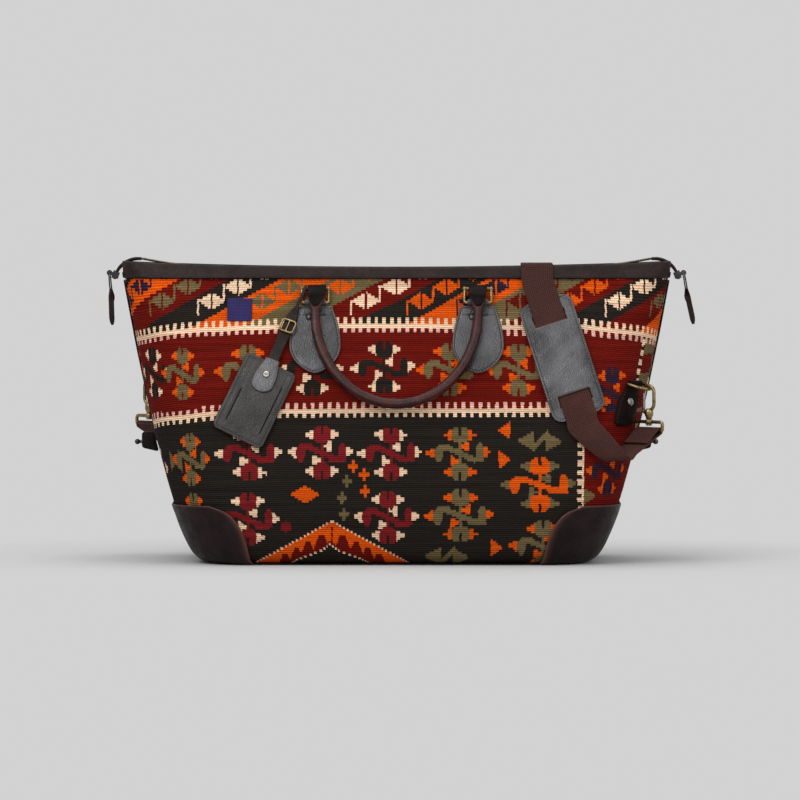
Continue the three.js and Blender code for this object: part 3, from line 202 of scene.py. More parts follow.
def new_mesh(name, points, faces):
    """Mesh in metres from points in millimetres."""
    mesh = bpy.data.meshes.new(name)
    points = np.asarray(points).reshape(-1, 3) * MM
    mesh.from_pydata(points.tolist(), [], [list(map(int, face)) for face in faces])
    return mesh


def add_piece(name, part, look, body, node, slot, turn=1):
    """Makes one piece from a part: points, faces and, for cut leather, how near each point is to an edge."""
    points, faces, *edge = part
    mesh = new_mesh(name, np.asarray(points) * turn, faces)
    if edge:
        layer = mesh.attributes.new("edge", "FLOAT", "POINT")
        layer.data.foreach_set("value", edge[0].astype(np.float32))
    outwards(mesh)
    return place_piece(name, mesh, look, body, node, slot)


def place_piece(name, mesh, look, body, node, slot):
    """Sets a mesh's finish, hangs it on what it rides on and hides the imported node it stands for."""
    mesh.polygons.foreach_set("use_smooth", [True] * len(mesh.polygons))
    mesh.materials.clear()
    mesh.materials.append(finish_of(look))
    piece = new_object(name, mesh)
    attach(piece, body)
    if node:
        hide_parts(node)
    return piece


def loft(rings, loop=False):
    """Points and faces of a skin over rows of rings, with fans over open ends."""
    rings = np.asarray(rings, dtype=float)
    rows, size, _ = rings.shape
    points = rings.reshape(-1, 3)
    faces = grid_quads(rows, size, loop, True).tolist()
    if not loop:
        points = np.vstack([points, rings[0].mean(axis=0), rings[-1].mean(axis=0)])
        first, last, base = rows * size, rows * size + 1, (rows - 1) * size
        faces += [[(i + 1) % size, i, first] for i in range(size)]
        faces += [[base + i, base + (i + 1) % size, last] for i in range(size)]
    return points, faces


def joined(*parts):
    """Several parts as one."""
    points, faces, edges, start = [], [], [], 0
    for part_points, part_faces, *edge in parts:
        points.append(np.asarray(part_points).reshape(-1, 3))
        faces += [[int(i) + start for i in face] for face in part_faces]
        edges.append(edge[0] if edge else np.zeros(len(points[-1])))
        start += len(points[-1])
    return np.vstack(points), faces, np.concatenate(edges)


def bow_between(a, b, c, d, t):
    """Smooth curve from b to c, aimed by the neighbours a and d."""
    return 0.5 * (2 * b + (c - a) * t + (2 * a - 5 * b + 4 * c - d) * t ** 2
                  + (3 * b - a - 3 * c + d) * t ** 3)


def resample(points, count, loop=False):
    """Evenly spaced points on a smooth curve through the given ones."""
    points = np.asarray(points, dtype=float)
    if loop:
        points = np.vstack([points[-1:], points, points[:2]])
    else:
        points = np.vstack([2 * points[:1] - points[1:2], points, 2 * points[-1:] - points[-2:-1]])
    t = np.linspace(0, 1, 24, endpoint=False)[:, None]
    fine = [bow_between(*points[i - 1:i + 3], t) for i in range(1, len(points) - 2)]
    fine = np.vstack(fine + [points[1:2] if loop else points[-2:-1]])
    run = np.concatenate([[0], np.cumsum(np.linalg.norm(np.diff(fine, axis=0), axis=1))])
    at = np.linspace(0, run[-1], count, endpoint=not loop)
    return np.stack([np.interp(at, run, fine[:, k]) for k in range(fine.shape[1])], axis=1)


def arc(centre, right, up, radius, start, end, count):
    """Points on a bend, between two angles in degrees."""
    return [centre + radius * (right * cos(a) + up * sin(a))
            for a in np.radians(np.linspace(start, end, count))]


def tube(path, radius, sides=14, loop=False):
    """Round rod along a path; the radius may change along it."""
    path = np.asarray(path, dtype=float)
    radius = np.broadcast_to(np.asarray(radius, dtype=float), (len(path),))
    tangent = unit(np.roll(path, -1, 0) - np.roll(path, 1, 0)) if loop else headings(path)
    side = unit(np.cross(tangent[0], vec(0.31, 0.22, 0.93)))
    rings = []
    angle = full_turn(sides)
    for centre, along, r in zip(path, tangent, radius):
        side = unit(side - along * (side @ along))
        rings.append(centre + r * (np.cos(angle) * side + np.sin(angle) * np.cross(along, side)))
    return loft(rings, loop)


def rounded_loop(corners, radius):
    """Closed path through corners, each turned on a round bend."""
    corners = np.asarray(corners, dtype=float)
    path = []
    for i, corner in enumerate(corners):
        to_last, to_next = unit(corners[i - 1] - corner), unit(corners[(i + 1) % len(corners)] - corner)
        start, end = corner + to_last * radius, corner + to_next * radius
        for t in np.linspace(0, 1, 7):
            path.append((1 - t) ** 2 * start + 2 * t * (1 - t) * corner + t ** 2 * end)
    return np.array(path)


def lathe(profile, base, out, sides=28):
    """Turned shape from radius and height pairs, standing on a point."""
    out = unit(out)
    side = unit(np.cross(out, vec(0.2, 0.35, 0.91)))
    other = np.cross(out, side)
    angle = full_turn(sides)
    return loft([base + out * height + max(radius, 0.01) * (np.cos(angle) * side + np.sin(angle) * other)
                 for radius, height in profile])


def band_section(half_width, half_thick):
    """Cross-section of a strap: across and out pairs, with soft edges."""
    inner = half_width - half_thick
    edge = [(inner + half_thick * cos(a), half_thick * sin(a)) for a in np.radians(np.linspace(-90, 90, 9))]
    half = np.array(edge + [(inner * share, half_thick) for share in np.linspace(1, -1, 9)[1:-1]])
    return np.vstack([half, -half])


def band(centres, across, out, half_width, half_thick):
    """Strap along rows of centres, with its width and outward directions."""
    widths, thicks = (np.broadcast_to(half, len(centres)) for half in (half_width, half_thick))
    rings = []
    for centre, a, o, half, thick in zip(centres, across, out, widths, thicks):
        section = band_section(half, thick)
        rings.append(centre + section[:, :1] * a + section[:, 1:] * o)
    return loft(rings)


def strap_along(path, wide, half_width, half_thick):
    """Strap along a path, with its width always in one direction."""
    path = np.asarray(path)
    return band(path, np.tile(wide, (len(path), 1)), np.cross(headings(path), wide), half_width, half_thick)


def seam_line(distance, seam, width=0.8):
    """How deep a sewn groove is at some distance from the edge."""
    return np.exp(-((distance - seam) / width) ** 2)


def even(*_):
    """Face without any relief."""
    return 0.0


def plate(outline, place, thickness, crown=0.0, relief=even, inner=7, lip=None, seam=None):
    """Sheet of leather cut to an outline, with a round edge; also gives how near each point is to the edge.

    place takes across, along and height arrays; relief takes across, along and distance from the edge.
    """
    outline = np.asarray(outline, dtype=float)
    centre = (outline.min(axis=0) + outline.max(axis=0)) / 2
    spoke = outline - centre
    reach = np.linalg.norm(spoke, axis=1, keepdims=True)
    lip = lip or thickness / 2
    rings = []
    for start, angles in ((lip, np.linspace(-90, 0, 4)), (thickness - lip, np.linspace(0, 90, 4))):
        rings += [(lip * (1 - cos(a)) / reach, start + lip * sin(a), False) for a in np.radians(angles)]
    for share in np.linspace(0, 1, inner + 2)[1:-1] ** 1.6:
        rings.append((lip / reach + (1 - lip / reach) * share, thickness, True))
    points, edges = [], []
    for inset, height, on_top in rings:
        flat = centre + spoke * (1 - inset)
        distance = (inset * reach).ravel()
        lift, near = np.full(len(flat), float(height)), np.ones(len(flat))
        if on_top:
            lift = lift + crown * (1 - (1 - np.clip(distance / reach.mean(), 0, 1)) ** 2)
            lift = lift + relief(flat[:, 0], flat[:, 1], distance)
            near = np.exp(-distance / 0.8)
        points.append(place(flat[:, 0], flat[:, 1], lift))
        edges.append(near - (seam_line(distance, seam) if seam else 0))
    return *loft(points), np.concatenate([*edges, [1.0, 0.0]])


# The bag's outside, as a rounded rectangle at each height

def half_length(z):
    z = np.maximum(z, 0)
    return (BASE_LENGTH + (MOUTH_LENGTH - BASE_LENGTH) * (z / BAG_HEIGHT) ** END_FLARE) / 2


def half_depth(z):
    z = np.asarray(z, dtype=float)
    drop = 1 - np.minimum(z, BELLY_HEIGHT) / BELLY_HEIGHT
    rise = np.maximum(z - BELLY_HEIGHT, 0) / (BAG_HEIGHT - BELLY_HEIGHT)
    low = BELLY_DEPTH - (BELLY_DEPTH - BASE_DEPTH) * drop ** 2
    high = BELLY_DEPTH - (BELLY_DEPTH - MOUTH_DEPTH) * rise ** SIDE_SLOPE
    return np.where(z < BELLY_HEIGHT, low, high) / 2


def corner_radius(z):
    return np.minimum(CORNER_RADIUS, CORNER_SHARE * half_depth(z))


def cloth_reach(z):
    """Cloth length from the middle of the front to the end seam."""
    radius = corner_radius(z)
    return half_length(z) - radius + radius * pi / 2 + half_depth(z) - radius - SEAM


def on_cloth(run, z, offset):
    """Place on the front panel at a cloth length from its middle; offset points outwards."""
    run, z = np.broadcast_arrays(np.asarray(run, dtype=float), np.asarray(z, dtype=float))
    radius = corner_radius(z)
    reach, inset = half_length(z) - radius, half_depth(z) - radius
    along = abs(run)
    turn = np.clip((along - reach) / radius, 0, pi / 2)
    past = np.maximum(along - reach - radius * pi / 2, 0)
    x = np.minimum(along, reach) + (radius + offset) * np.sin(turn)
    y = inset + (radius + offset) * np.cos(turn) - past
    return np.stack([np.sign(run) * x, -y, z + 0 * x], axis=-1)


def on_front(x, z, offset):
    x, z, offset = np.broadcast_arrays(np.asarray(x, dtype=float), z, offset)
    return np.stack([x, -(half_depth(z) + offset), z + 0.0], axis=-1)


def roll_under(angle, radius, fullness=1.0):
    """Offset and height on the round bottom edge, from the wall (0) to the floor (90 degrees).

    A stiff corner presses the edge out: the lower the fullness, the squarer it is.
    """
    angle = np.radians(angle)
    across, down = (np.clip(share, 0, 1) ** fullness for share in (np.cos(angle), np.sin(angle)))
    return radius * across - BOTTOM_ROLL, ROLL_CENTRE - radius * down


# Kilim pattern: yarn numbers over the cloth, in the photograph's pixels (about a millimetre each)

BLACK, MADDER, CRIMSON, ORANGE, OLIVE, CREAM, PINK, INDIGO = range(8)
YARNS = tuple(BagYarns.__annotations__)
UPPER_COMB = ((40, 348), (136, 337), (180, 330), (250, 327), (340, 325), (420, 325), (500, 327),
              (584, 326), (650, 334), (740, 350))
LOWER_COMB = ((40, 436), (152, 420), (215, 413), (280, 411), (400, 410), (550, 410), (650, 412), (740, 418))
STRIPE_RISE = 0.554
STRIPE_PITCH = 49.9
STRIPE_START = 152 - 3 * STRIPE_PITCH
STRIPE_SHIFT = ((150, 222, 280, 357, 381, 400), (11.5, 11.5, 9.6, 6.7, 4, 0))
STRIPES = ((MADDER, CREAM), (BLACK, CREAM), (ORANGE, INDIGO), (MADDER, OLIVE), (BLACK, CREAM),
           (ORANGE, OLIVE), (OLIVE, ORANGE), (MADDER, CREAM), (BLACK, ORANGE), (ORANGE, INDIGO),
           (OLIVE, MADDER), (MADDER, ORANGE), (BLACK, CREAM), (MADDER, OLIVE), (ORANGE, INDIGO),
           (BLACK, CREAM))
DIAMOND_ROWS = (301.5, 287.2, 272.9, 258.6)
TOOTH_WIDTH, TOOTH_REACH, COMB_HALF, BEAD_HALF = 3.5, 7.3, 2.1, 2.6
UPPER_PITCH, LOWER_PITCH, UPPER_LEVEL, LOWER_LEVEL = 7.8, 8.4, 325, 410

# Hooked motifs: middle, body yarn, tip yarn, and width
BAND_MOTIFS = (
    (100, 374, OLIVE, ORANGE, 0.7), (144, 374, BLACK, CREAM, 0.75), (181, 374, OLIVE, ORANGE, 0.72),
    (247, 372, OLIVE, ORANGE, 1), (312, 370, BLACK, CREAM, 1), (384, 368, BLACK, CREAM, 1),
    (450, 370, OLIVE, ORANGE, 1), (519, 370, OLIVE, ORANGE, 1), (682, 376, OLIVE, CREAM, 1),
    (614, 394, INDIGO, ORANGE, 0.92),
)
FIELD_MOTIFS = (
    (120, 470, MADDER, CREAM, 1), (188, 459.4, OLIVE, ORANGE, 0.7), (249.5, 453.3, CRIMSON, CREAM, 1.04),
    (322, 452, CRIMSON, CREAM, 1), (391, 452.6, CRIMSON, CREAM, 1), (460, 452.6, OLIVE, ORANGE, 1),
    (189, 519, OLIVE, ORANGE, 0.7), (248, 518.4, CRIMSON, CREAM, 1.02), (388, 516.4, CRIMSON, CREAM, 1),
    (460.6, 514.7, OLIVE, ORANGE, 1.07), (540, 483.7, ORANGE, OLIVE, 1.17), (543, 545.6, OLIVE, ORANGE, 1),
    (120, 530, OLIVE, ORANGE, 1),
)
BORDER_MOTIFS = (
    (614, 470, INDIGO, ORANGE, 0.8), (680, 452, INDIGO, ORANGE, 0.9), (690, 510, OLIVE, CREAM, 0.9),
)
CROSSES = ((353, 466, ORANGE), (364, 473, ORANGE), (365, 491, ORANGE), (347, 480, OLIVE), (342, 496, OLIVE),
           (344, 514, OLIVE))
BORDER_LINE = 583.6
FLAMES = ((10.5, 30), (24, 22.7), (35.5, 16), (47, 10.8))
FLAME_CORE = ((0, 19.7), (8, 13.5), (17, 10), (32, 4.2), (40, 0))


def stripe_band(x, y):
    """Slanting stripes with split diamonds and hook bars."""
    x = x + np.interp(x, *STRIPE_SHIFT)
    count = np.floor((x - (300 - y) / STRIPE_RISE - STRIPE_START) / STRIPE_PITCH)
    middle = STRIPE_START + (count + 0.45) * STRIPE_PITCH
    yarn, mark = (np.array(kind)[count.astype(int) % len(STRIPES)] for kind in zip(*STRIPES))
    for centre_y in DIAMOND_ROWS:
        u, w = x - (middle + (300 - centre_y) / STRIPE_RISE), centre_y - y
        diamond = (abs(u) / 13.2 + abs(w) / 8.8 < 1) & (abs(u) > 0.9)
        bar = (abs(u + 13.6) < 0.95) & (w < 1.5) & (w > -15)
        yarn = np.where(diamond | bar, mark, yarn)
    return yarn


def stepped_tip(run, height, length=8):
    """Small woven tip: a block, then a narrow stub."""
    return (run > -0.5) & (run < length) & (abs(height) < np.where(run < 3.9, 4.9 - run * 0.2, 2))


def hooked_motif(yarn, x, y, centre_x, centre_y, body, tip, wide):
    """Two notched hearts above and below an S-shaped double hook, with stepped tips."""
    u, w = (x - centre_x) / wide, centre_y - y
    if not ((abs(u) < 36) & (abs(w) < 32)).any():
        return yarn
    side = abs(u)
    spine = (abs(w + 0.42 * u) < 2.9) & (side < 15)
    left = (abs(u + 21.5) < 4.5 - np.maximum(-w - 3, 0) * 0.5) & (w > -8.5)
    left &= w < 8.6 - np.maximum(-u - 21, 0)
    left |= (abs(u + 16) < 6) & (abs(w - 6) < 3.1)
    right = (abs(u - 20.2) < 3.7 - np.maximum(w - 6, 0) * 0.5) & (w > -8) & (w < 10)
    right |= (abs(u - 14) < 7) & (abs(w + 6) < 2.9)
    tips = stepped_tip(-26 - u, w - 0.3) | stepped_tip(u - 24, w - 1.5, 7)
    tips |= stepped_tip(8.7 - u, w - 6.6, 7.5) | stepped_tip(u + 9, w + 7.2, 7.5)
    hearts = (side < 1.3) & (abs(w) < 11)
    for h in (w - 18.3, -18.2 - w):
        heart = (side < 8.4) & (abs(h) < 8.2 - np.maximum(side - 5, 0) * 1.1)
        hearts |= heart & ~((side < 1.25) & (h > 0))
        tips |= stepped_tip(side - 8.4, h)
    yarn = np.where(tips, tip, yarn)
    return np.where(spine | left | right | hearts, body, yarn)


def at_line(x, line):
    """Height of a line through pairs of places and heights."""
    return np.interp(x, *zip(*line))


def comb_line(yarn, x, y, line, pitch, above, below):
    """Cream line with square teeth on both sides."""
    gap = at_line(x, line) - y
    tooth = (x % pitch) < TOOTH_WIDTH
    yarn = np.where(tooth & (gap >= COMB_HALF) & (gap < TOOTH_REACH), above, yarn)
    yarn = np.where(tooth & (gap <= -COMB_HALF) & (gap > -TOOTH_REACH), below, yarn)
    return np.where(abs(gap) < COMB_HALF, CREAM, yarn)


def small_marks(yarn, x, y):
    """Crosses, lozenge, arrowheads and zigzags strewn over the black field."""
    marks = [(abs(x - 305) / 15 + abs(y - 493) / 9 < 1, ORANGE)]
    for cx, cy, colour in CROSSES:
        u, w = abs(x - cx), abs(y - cy)
        marks.append((((u < 1.5) & (w < 6.4)) | ((w < 2) & (u < 5)), colour))
    for cx, cy, way in ((504, 430, -1), (505, 459, 1), (497, 547, 1)):
        u = (x - cx) * way
        marks.append(((abs(y - cy) < 4.4 - u * 0.75) & (abs(u) < 6.2), ORANGE))
    for cx, cy in ((540, 440.5), (447, 556)):
        u, w = x - cx, cy - y
        ends = (abs(u) > 6) & (abs(u) < 21) & (abs(w + np.sign(u) * 0.6) < 1.6 + (21 - abs(u)) * 0.5)
        marks.append((ends | ((abs(u) < 8) & (abs(w - u) < 3.3)), OLIVE))
    u, w = abs(x - 286), abs(y - 526)
    marks.append(((u < 5) & (w < 5.5 - u * 0.5), CRIMSON))
    u, w = abs(x - 168), abs(y - 461)
    marks.append(((u < 9) & (w < u + 1.5), OLIVE))
    return woven_over(yarn, marks)


def woven_over(yarn, marks):
    """Yarns after each mark, in turn, takes its own cells."""
    for cells, colour in marks:
        yarn = np.where(cells, colour, yarn)
    return yarn


def flame_triangle(yarn, x, y):
    """Wide orange triangle at the floor with a thin cream edge and red flames."""
    u, h = abs(x - 332), 563.5 - y
    height, inner = 43.5 - u * 0.55, at_line(abs(x - 330), FLAME_CORE)
    red = ((h < inner + 4) & (u < 50)) | ((u < 0.8) & (h < 37))
    for middle, top in FLAMES:
        red |= (h < top - np.maximum(abs(u - middle) - 2.4, 0) * 2.6) & (abs(u - middle) < 8)
    return woven_over(yarn, ((h < height, ORANGE), (red & (h < height - 4), MADDER),
                             ((h < inner + 1.0) & (u < 42), CREAM), ((h < inner) & (u < 42), BLACK),
                             (abs(h - height) < 0.5, CREAM)))


def kilim_yarns(x, y):
    """Yarn number at each place of the cloth."""
    upper, lower = at_line(x, UPPER_COMB), at_line(x, LOWER_COMB)
    field = small_marks(flame_triangle(np.full(x.shape, BLACK), x, y), x, y)
    for motif in FIELD_MOTIFS:
        field = hooked_motif(field, x, y, *motif)
    wedge = (x < BORDER_LINE + 14) & (abs(y - 495.5) < 8.5 - (x - BORDER_LINE) * 0.5)
    border = np.where(wedge, OLIVE, MADDER)
    for motif in BORDER_MOTIFS:
        border = hooked_motif(border, x, y, *motif)
    step = ((y % 9.2) < 4.8) & (x > BORDER_LINE - 6)
    field = np.where((abs(x - BORDER_LINE) < 1) | (step & (x < BORDER_LINE)), CREAM, field)
    field = np.where(x > BORDER_LINE + 1, border, field)
    middle = np.full(x.shape, MADDER)
    for motif in BAND_MOTIFS:
        middle = hooked_motif(middle, x, y, *motif)
    bead_line = 655 - (y - 333) * 0.2
    beads = np.where((y % 10) < 6, CREAM, BLACK)
    middle = np.where(abs(x - bead_line) < BEAD_HALF, beads, middle)
    beyond = np.where((y % 34) < 15, OLIVE, MADDER)
    middle = np.where((x > bead_line + BEAD_HALF) & (x < bead_line + 26), beyond, middle)
    yarn = np.where(y < upper, stripe_band(x, y), np.where(y < lower, middle, field))
    yarn = comb_line(yarn, x, y - 1.05, UPPER_COMB, UPPER_PITCH, CREAM, PINK)
    field_comb = comb_line(yarn, x, y, LOWER_COMB, LOWER_PITCH, PINK, CREAM)
    return np.where(x < BORDER_LINE + 3, field_comb, yarn)


# Woven panels

PANEL_COLUMNS, ROLL_ROWS, INNER_EVERY = 664, 10, 8
INNER_SHARES = np.concatenate([np.linspace(-1, -0.62, 9), [0], np.linspace(0.62, 1, 9)])


def row_bend(run, z):
    """How far the woven rows dip towards the ends of the bag."""
    x, y = run + PIXEL_X, PIXEL_Z - z
    upper, lower = at_line(x, UPPER_COMB) - UPPER_LEVEL, at_line(x, LOWER_COMB) - LOWER_LEVEL
    share = np.clip((y - UPPER_LEVEL) / (LOWER_LEVEL - UPPER_LEVEL), 0, 1)
    return (upper + (lower - upper) * share) * smoothstep(z, PANEL_TOP - 2, 258) * smoothstep(z, 18, 90)


def ladder(first, second):
    """Triangles between two rows of points with different counts."""
    faces, i, j = [], 0, 0
    while i < len(first) - 1 or j < len(second) - 1:
        if j == len(second) - 1 or (i < len(first) - 1
                                    and (i + 1) / (len(first) - 1) <= (j + 1) / (len(second) - 1)):
            faces.append([first[i], first[i + 1], second[j]])
            i += 1
        else:
            faces.append([first[i], second[j + 1], second[j]])
            j += 1
    return faces


def panel_rows(rib):
    """Heights and offsets of the woven rows, from under the bag to the mouth."""
    walls = np.arange(ROLL_CENTRE, PANEL_TOP + rib / 2, rib)
    roll_offset, roll_z = roll_under(np.linspace(90, 0, ROLL_ROWS + 1)[:-1], BOTTOM_ROLL)
    return np.concatenate([roll_z, walls]), np.concatenate([roll_offset, np.zeros(len(walls))])


def kilim_panel(name, node, seed, turn):
    """Woven shell with a slightly dented face of bending rows, over a plain inner wall."""
    rib = looks().sizes.rib / MM
    z, offset = panel_rows(rib)
    zz, ss = np.meshgrid(z, np.linspace(-1, 1, PANEL_COLUMNS + 1), indexing="ij")
    run = ss * cloth_reach(zz)
    inside = (zz > ROLL_CENTRE + 2) & (zz < PANEL_TOP - 4)
    drop = row_bend(run, zz) - 0.5 * wobble(run / 9, zz / 21, seed) * inside
    middle = 1 - smoothstep(abs(ss), 0.62, 0.8)
    dent = -0.9 * (1 + wobble(run / 74, zz / 58, seed + 1)) * smoothstep(zz, 16, 60) * middle
    slub = 0.22 * (wobble(run / 2.3, zz / rib * 2.4, seed + 2) - 1)
    outer = on_cloth(run, zz - drop, offset[:, None] + slub + dent)
    low_rows = np.unique([*range(0, len(z), INNER_EVERY), *range(ROLL_ROWS + 1), len(z) - 1])
    zi, si = np.meshgrid(z[low_rows], INNER_SHARES, indexing="ij")
    inner = on_cloth(si * cloth_reach(zi), zi + 0.0, offset[low_rows, None] - KILIM)
    inner[..., 2] += np.where(zi < ROLL_CENTRE, KILIM * (ROLL_CENTRE - zi) / BOTTOM_ROLL, 0)
    rows, columns = zz.shape
    start = rows * columns
    out_index = np.arange(start).reshape(rows, columns)
    in_index = start + np.arange(zi.size).reshape(zi.shape)
    faces = grid_quads(rows, columns).tolist()
    woven = len(faces)
    faces += grid_quads(*zi.shape, start=start)[:, ::-1].tolist()
    for end in (0, -1):
        faces += ladder(out_index[end].tolist(), in_index[end].tolist())
        faces += ladder(out_index[:, end].tolist(), in_index[:, end].tolist())
    points = np.vstack([outer.reshape(-1, 3), inner.reshape(-1, 3)])
    mesh = new_mesh(name, points * turn, faces)
    centre = (z[:-1, None] + z[1:, None]) / 2 + 0 * run[:-1, :-1]
    paint_yarns(mesh, (run[:-1, :-1] + run[1:, 1:]) / 2, centre, woven, len(faces))
    table = np.zeros((len(points), 2))
    table[:start] = np.stack([run.ravel(), np.repeat(np.arange(rows) * rib, columns)], axis=1)
    weave_map(mesh, table)
    outwards(mesh)
    return place_piece(name, mesh, "kilim", "bag", node, "kilim")


def paint_yarns(mesh, run, z, woven, total):
    """Writes each woven cell's yarn number on its face."""
    yarn = np.full(total, BLACK, dtype=np.int32)
    yarn[:woven] = kilim_yarns(run + PIXEL_X, PIXEL_Z - z + row_bend(run, z)).ravel()
    layer = mesh.attributes.new("yarn", "FLOAT", "FACE")
    layer.data.foreach_set("value", (yarn / len(YARNS)).astype(np.float32))


def weave_map(mesh, table):
    """Cloth lengths of each point as a UV map in metres, for the fine yarns."""
    corner = np.zeros(len(mesh.loops), dtype=np.int32)
    mesh.loops.foreach_get("vertex_index", corner)
    mesh.uv_layers.new(name="weave").data.foreach_set("uv", (table * MM)[corner].astype(np.float32).ravel())


def build_kilim():
    for (side, turn), seed in zip(FRONT_BACK, (7, 17)):
        piece = kilim_panel(f"woven_{side}", f"kilim_{side}", seed, turn)


# Finishes: node materials in Object coordinates or the piece's own UV map

class Nodes:
    """Short hand for building one node tree."""

    def __init__(self, tree):
        self.tree = tree
        self.shader = tree.nodes.get("Principled BSDF")

    def add(self, kind, inputs=None, **settings):
        node = self.tree.nodes.new(kind)
        for key, value in settings.items():
            setattr(node, key, value)
        for key, value in (inputs or {}).items():
            self.feed(node.inputs[key], value)
        return node

    def feed(self, socket, value):
        if isinstance(value, bpy.types.NodeSocket):
            self.tree.links.new(value, socket)
        elif value is not None:
            socket.default_value = value

    def place(self, scale=(1, 1, 1), uv=None):
        source = self.add("ShaderNodeUVMap", uv_map=uv) if uv else self.add("ShaderNodeTexCoord")
        socket = source.outputs["UV" if uv else "Object"]
        return self.add("ShaderNodeMapping", {"Vector": socket, "Scale": scale}).outputs[0]

    def noise(self, place, scale, detail, rough=0.55):
        return self.add("ShaderNodeTexNoise", {"Vector": place, "Scale": scale, "Detail": detail,
                                               "Roughness": rough}).outputs["Fac"]

    def cells(self, place, scale):
        return self.add("ShaderNodeTexVoronoi", {"Vector": place, "Scale": scale}).outputs["Distance"]

    def spread(self, value, low, high, to_low=0.0, to_high=1.0):
        return self.add("ShaderNodeMapRange", {"Value": value, "From Min": low, "From Max": high,
                                               "To Min": to_low, "To Max": to_high}).outputs[0]

    def wave(self, place, scale, axis, more):
        inputs = {"Vector": place, "Scale": scale, **more}
        return self.add("ShaderNodeTexWave", inputs, bands_direction=axis).outputs["Fac"]

    def maths(self, operation, first, second):
        return self.add("ShaderNodeMath", {0: first, 1: second}, operation=operation).outputs[0]

    def mix(self, share, first, second):
        node = self.add("ShaderNodeMix", {"Factor": share, "A": first, "B": second}, data_type="RGBA")
        return next(socket for socket in node.outputs if socket.type == "RGBA")

    def seen(self):
        """1 for what the camera and mirrors look at."""
        path = self.add("ShaderNodeLightPath").outputs
        return self.maths("MAXIMUM", path["Is Camera Ray"], path["Is Glossy Ray"])

    def attribute(self, name):
        return self.add("ShaderNodeAttribute", attribute_name=name).outputs["Fac"]

    def bump(self, height, distance, strength, under=None):
        return self.add("ShaderNodeBump", {"Height": height, "Distance": distance, "Strength": strength,
                                           "Normal": under}).outputs[0]

    def finish(self, colour, roughness, normal=None, metallic=0.0, specular=0.5):
        values = {"Base Color": colour, "Roughness": roughness, "Metallic": metallic,
                  "Specular IOR Level": specular, "Normal": normal}
        for key, value in values.items():
            self.feed(self.shader.inputs[key], value)


def new_finish(look):
    """Node tree of a new finish, which finish_of finds by its name."""
    material = bpy.data.materials.new(f"fin_{look}")
    material.use_nodes = True
    return Nodes(material.node_tree)


def finish_of(look):
    """One finish; the first call makes them all."""
    if "fin_kilim" not in bpy.data.materials:
        make_finishes()
    return bpy.data.materials[f"fin_{look}"]


def tint(colour, factor):
    return (*(min(c * factor, 1.0) for c in colour[:3]), 1.0)


def leather_finish(name, colour, edge, grain=620.0, gloss=0.42, cloud=(0.5, 1.5), worn_and_highlight=0.3, specular=0.35,
                   clouds=55.0, detail=8.0, crease=0.4):
    """Grained leather: clouded dye, fine pebbles, pale spots of wear and a cut edge of its own colour; the
    clouds, wide and strong on the charcoal leather, are partly painted sheen and the pale spots partly
    painted highlights.
    """
    n = new_finish(name)
    place = n.place()
    # Clouded dye, partly painted sheen: lighter and darker patches that also stand in for gloss.
    dye_and_sheen_clouds = n.spread(n.noise(place, clouds, detail, 0.66), 0.38, 0.62)
    base = n.mix(dye_and_sheen_clouds, tint(colour, cloud[0]), tint(colour, cloud[1]))
    # Pale spots, partly wear and partly painted highlights.
    rubbed_and_highlight = n.spread(n.noise(place, clouds * 2.7, detail, 0.75), 0.54, 0.68, 0.0, worn_and_highlight)
    base = n.mix(rubbed_and_highlight, base, tint(colour, 2.2))
    pores = n.spread(n.cells(place, grain), 0.12, 0.62)
    base = n.mix(n.spread(pores, 0.0, 0.55, 0.5, 0.0), base, tint(colour, 0.35))
    trim = n.attribute("edge")
    base = n.mix(n.spread(trim, 0.0, 1.0), base, edge)
    # Below zero the edge value darkens the leather nearly to black: sewn grooves, and the tag's slits as
    # painted shade.
    base = n.mix(n.spread(trim, 0.0, -1.0, 0.0, 0.85), base, tint(colour, 0.12))
    shine = n.spread(n.noise(place, 75.0, 4.0), 0.3, 0.7, gloss - 0.1, gloss + 0.18)
    creases = n.bump(n.noise(place, 85.0, 5.0, 0.62), 0.0016, crease)
    n.finish(base, shine, n.bump(pores, 0.0002, 0.6, creases), specular=specular)


def kilim_finish():
    """Flat-woven wool: yarn colour by face, uneven dye along the rows, shaded grooves and spun fibres."""
    n = new_finish("kilim")
    yarns = looks().yarns
    ramp = n.add("ShaderNodeValToRGB", {"Fac": n.attribute("yarn")})
    ramp.color_ramp.interpolation = "CONSTANT"
    stops = ramp.color_ramp.elements
    for number, yarn in enumerate(YARNS):
        stop = stops[number] if number < len(stops) else stops.new(0.99)
        stop.position = max((number - 0.5) / len(YARNS), 0)
        stop.color = (*getattr(yarns, yarn), 1.0)
    ribs = n.wave(n.place(uv="weave"), pi / 10 / looks().sizes.rib, "Y", {"Phase Offset": pi})
    rows = n.spread(n.noise(n.place((9.0, 9.0, 300.0)), 1.0, 4.0, 0.6), 0.3, 0.7, 0.66, 1.2)
    fibres = n.noise(n.place((420.0, 1500.0, 1.0), uv="weave"), 1.0, 5.0, 0.7)
    shade = n.maths("MULTIPLY", rows, n.spread(ribs, 0.0, 0.5, 0.5, 1.08))
    shade = n.maths("MULTIPLY", shade, n.spread(fibres, 0.32, 0.66, 0.62, 1.2))
    dyed = {0: ramp.outputs["Color"], "Scale": shade}
    base = n.add("ShaderNodeVectorMath", dyed, operation="SCALE").outputs[0]
    height = n.maths("ADD", n.maths("MULTIPLY", ribs, 0.8), n.maths("MULTIPLY", fibres, 0.7))
    roughness = n.spread(fibres, 0.3, 0.7, 0.86, 0.98)
    n.finish(base, roughness, n.bump(height, looks().sizes.relief, 0.8), specular=0.06)


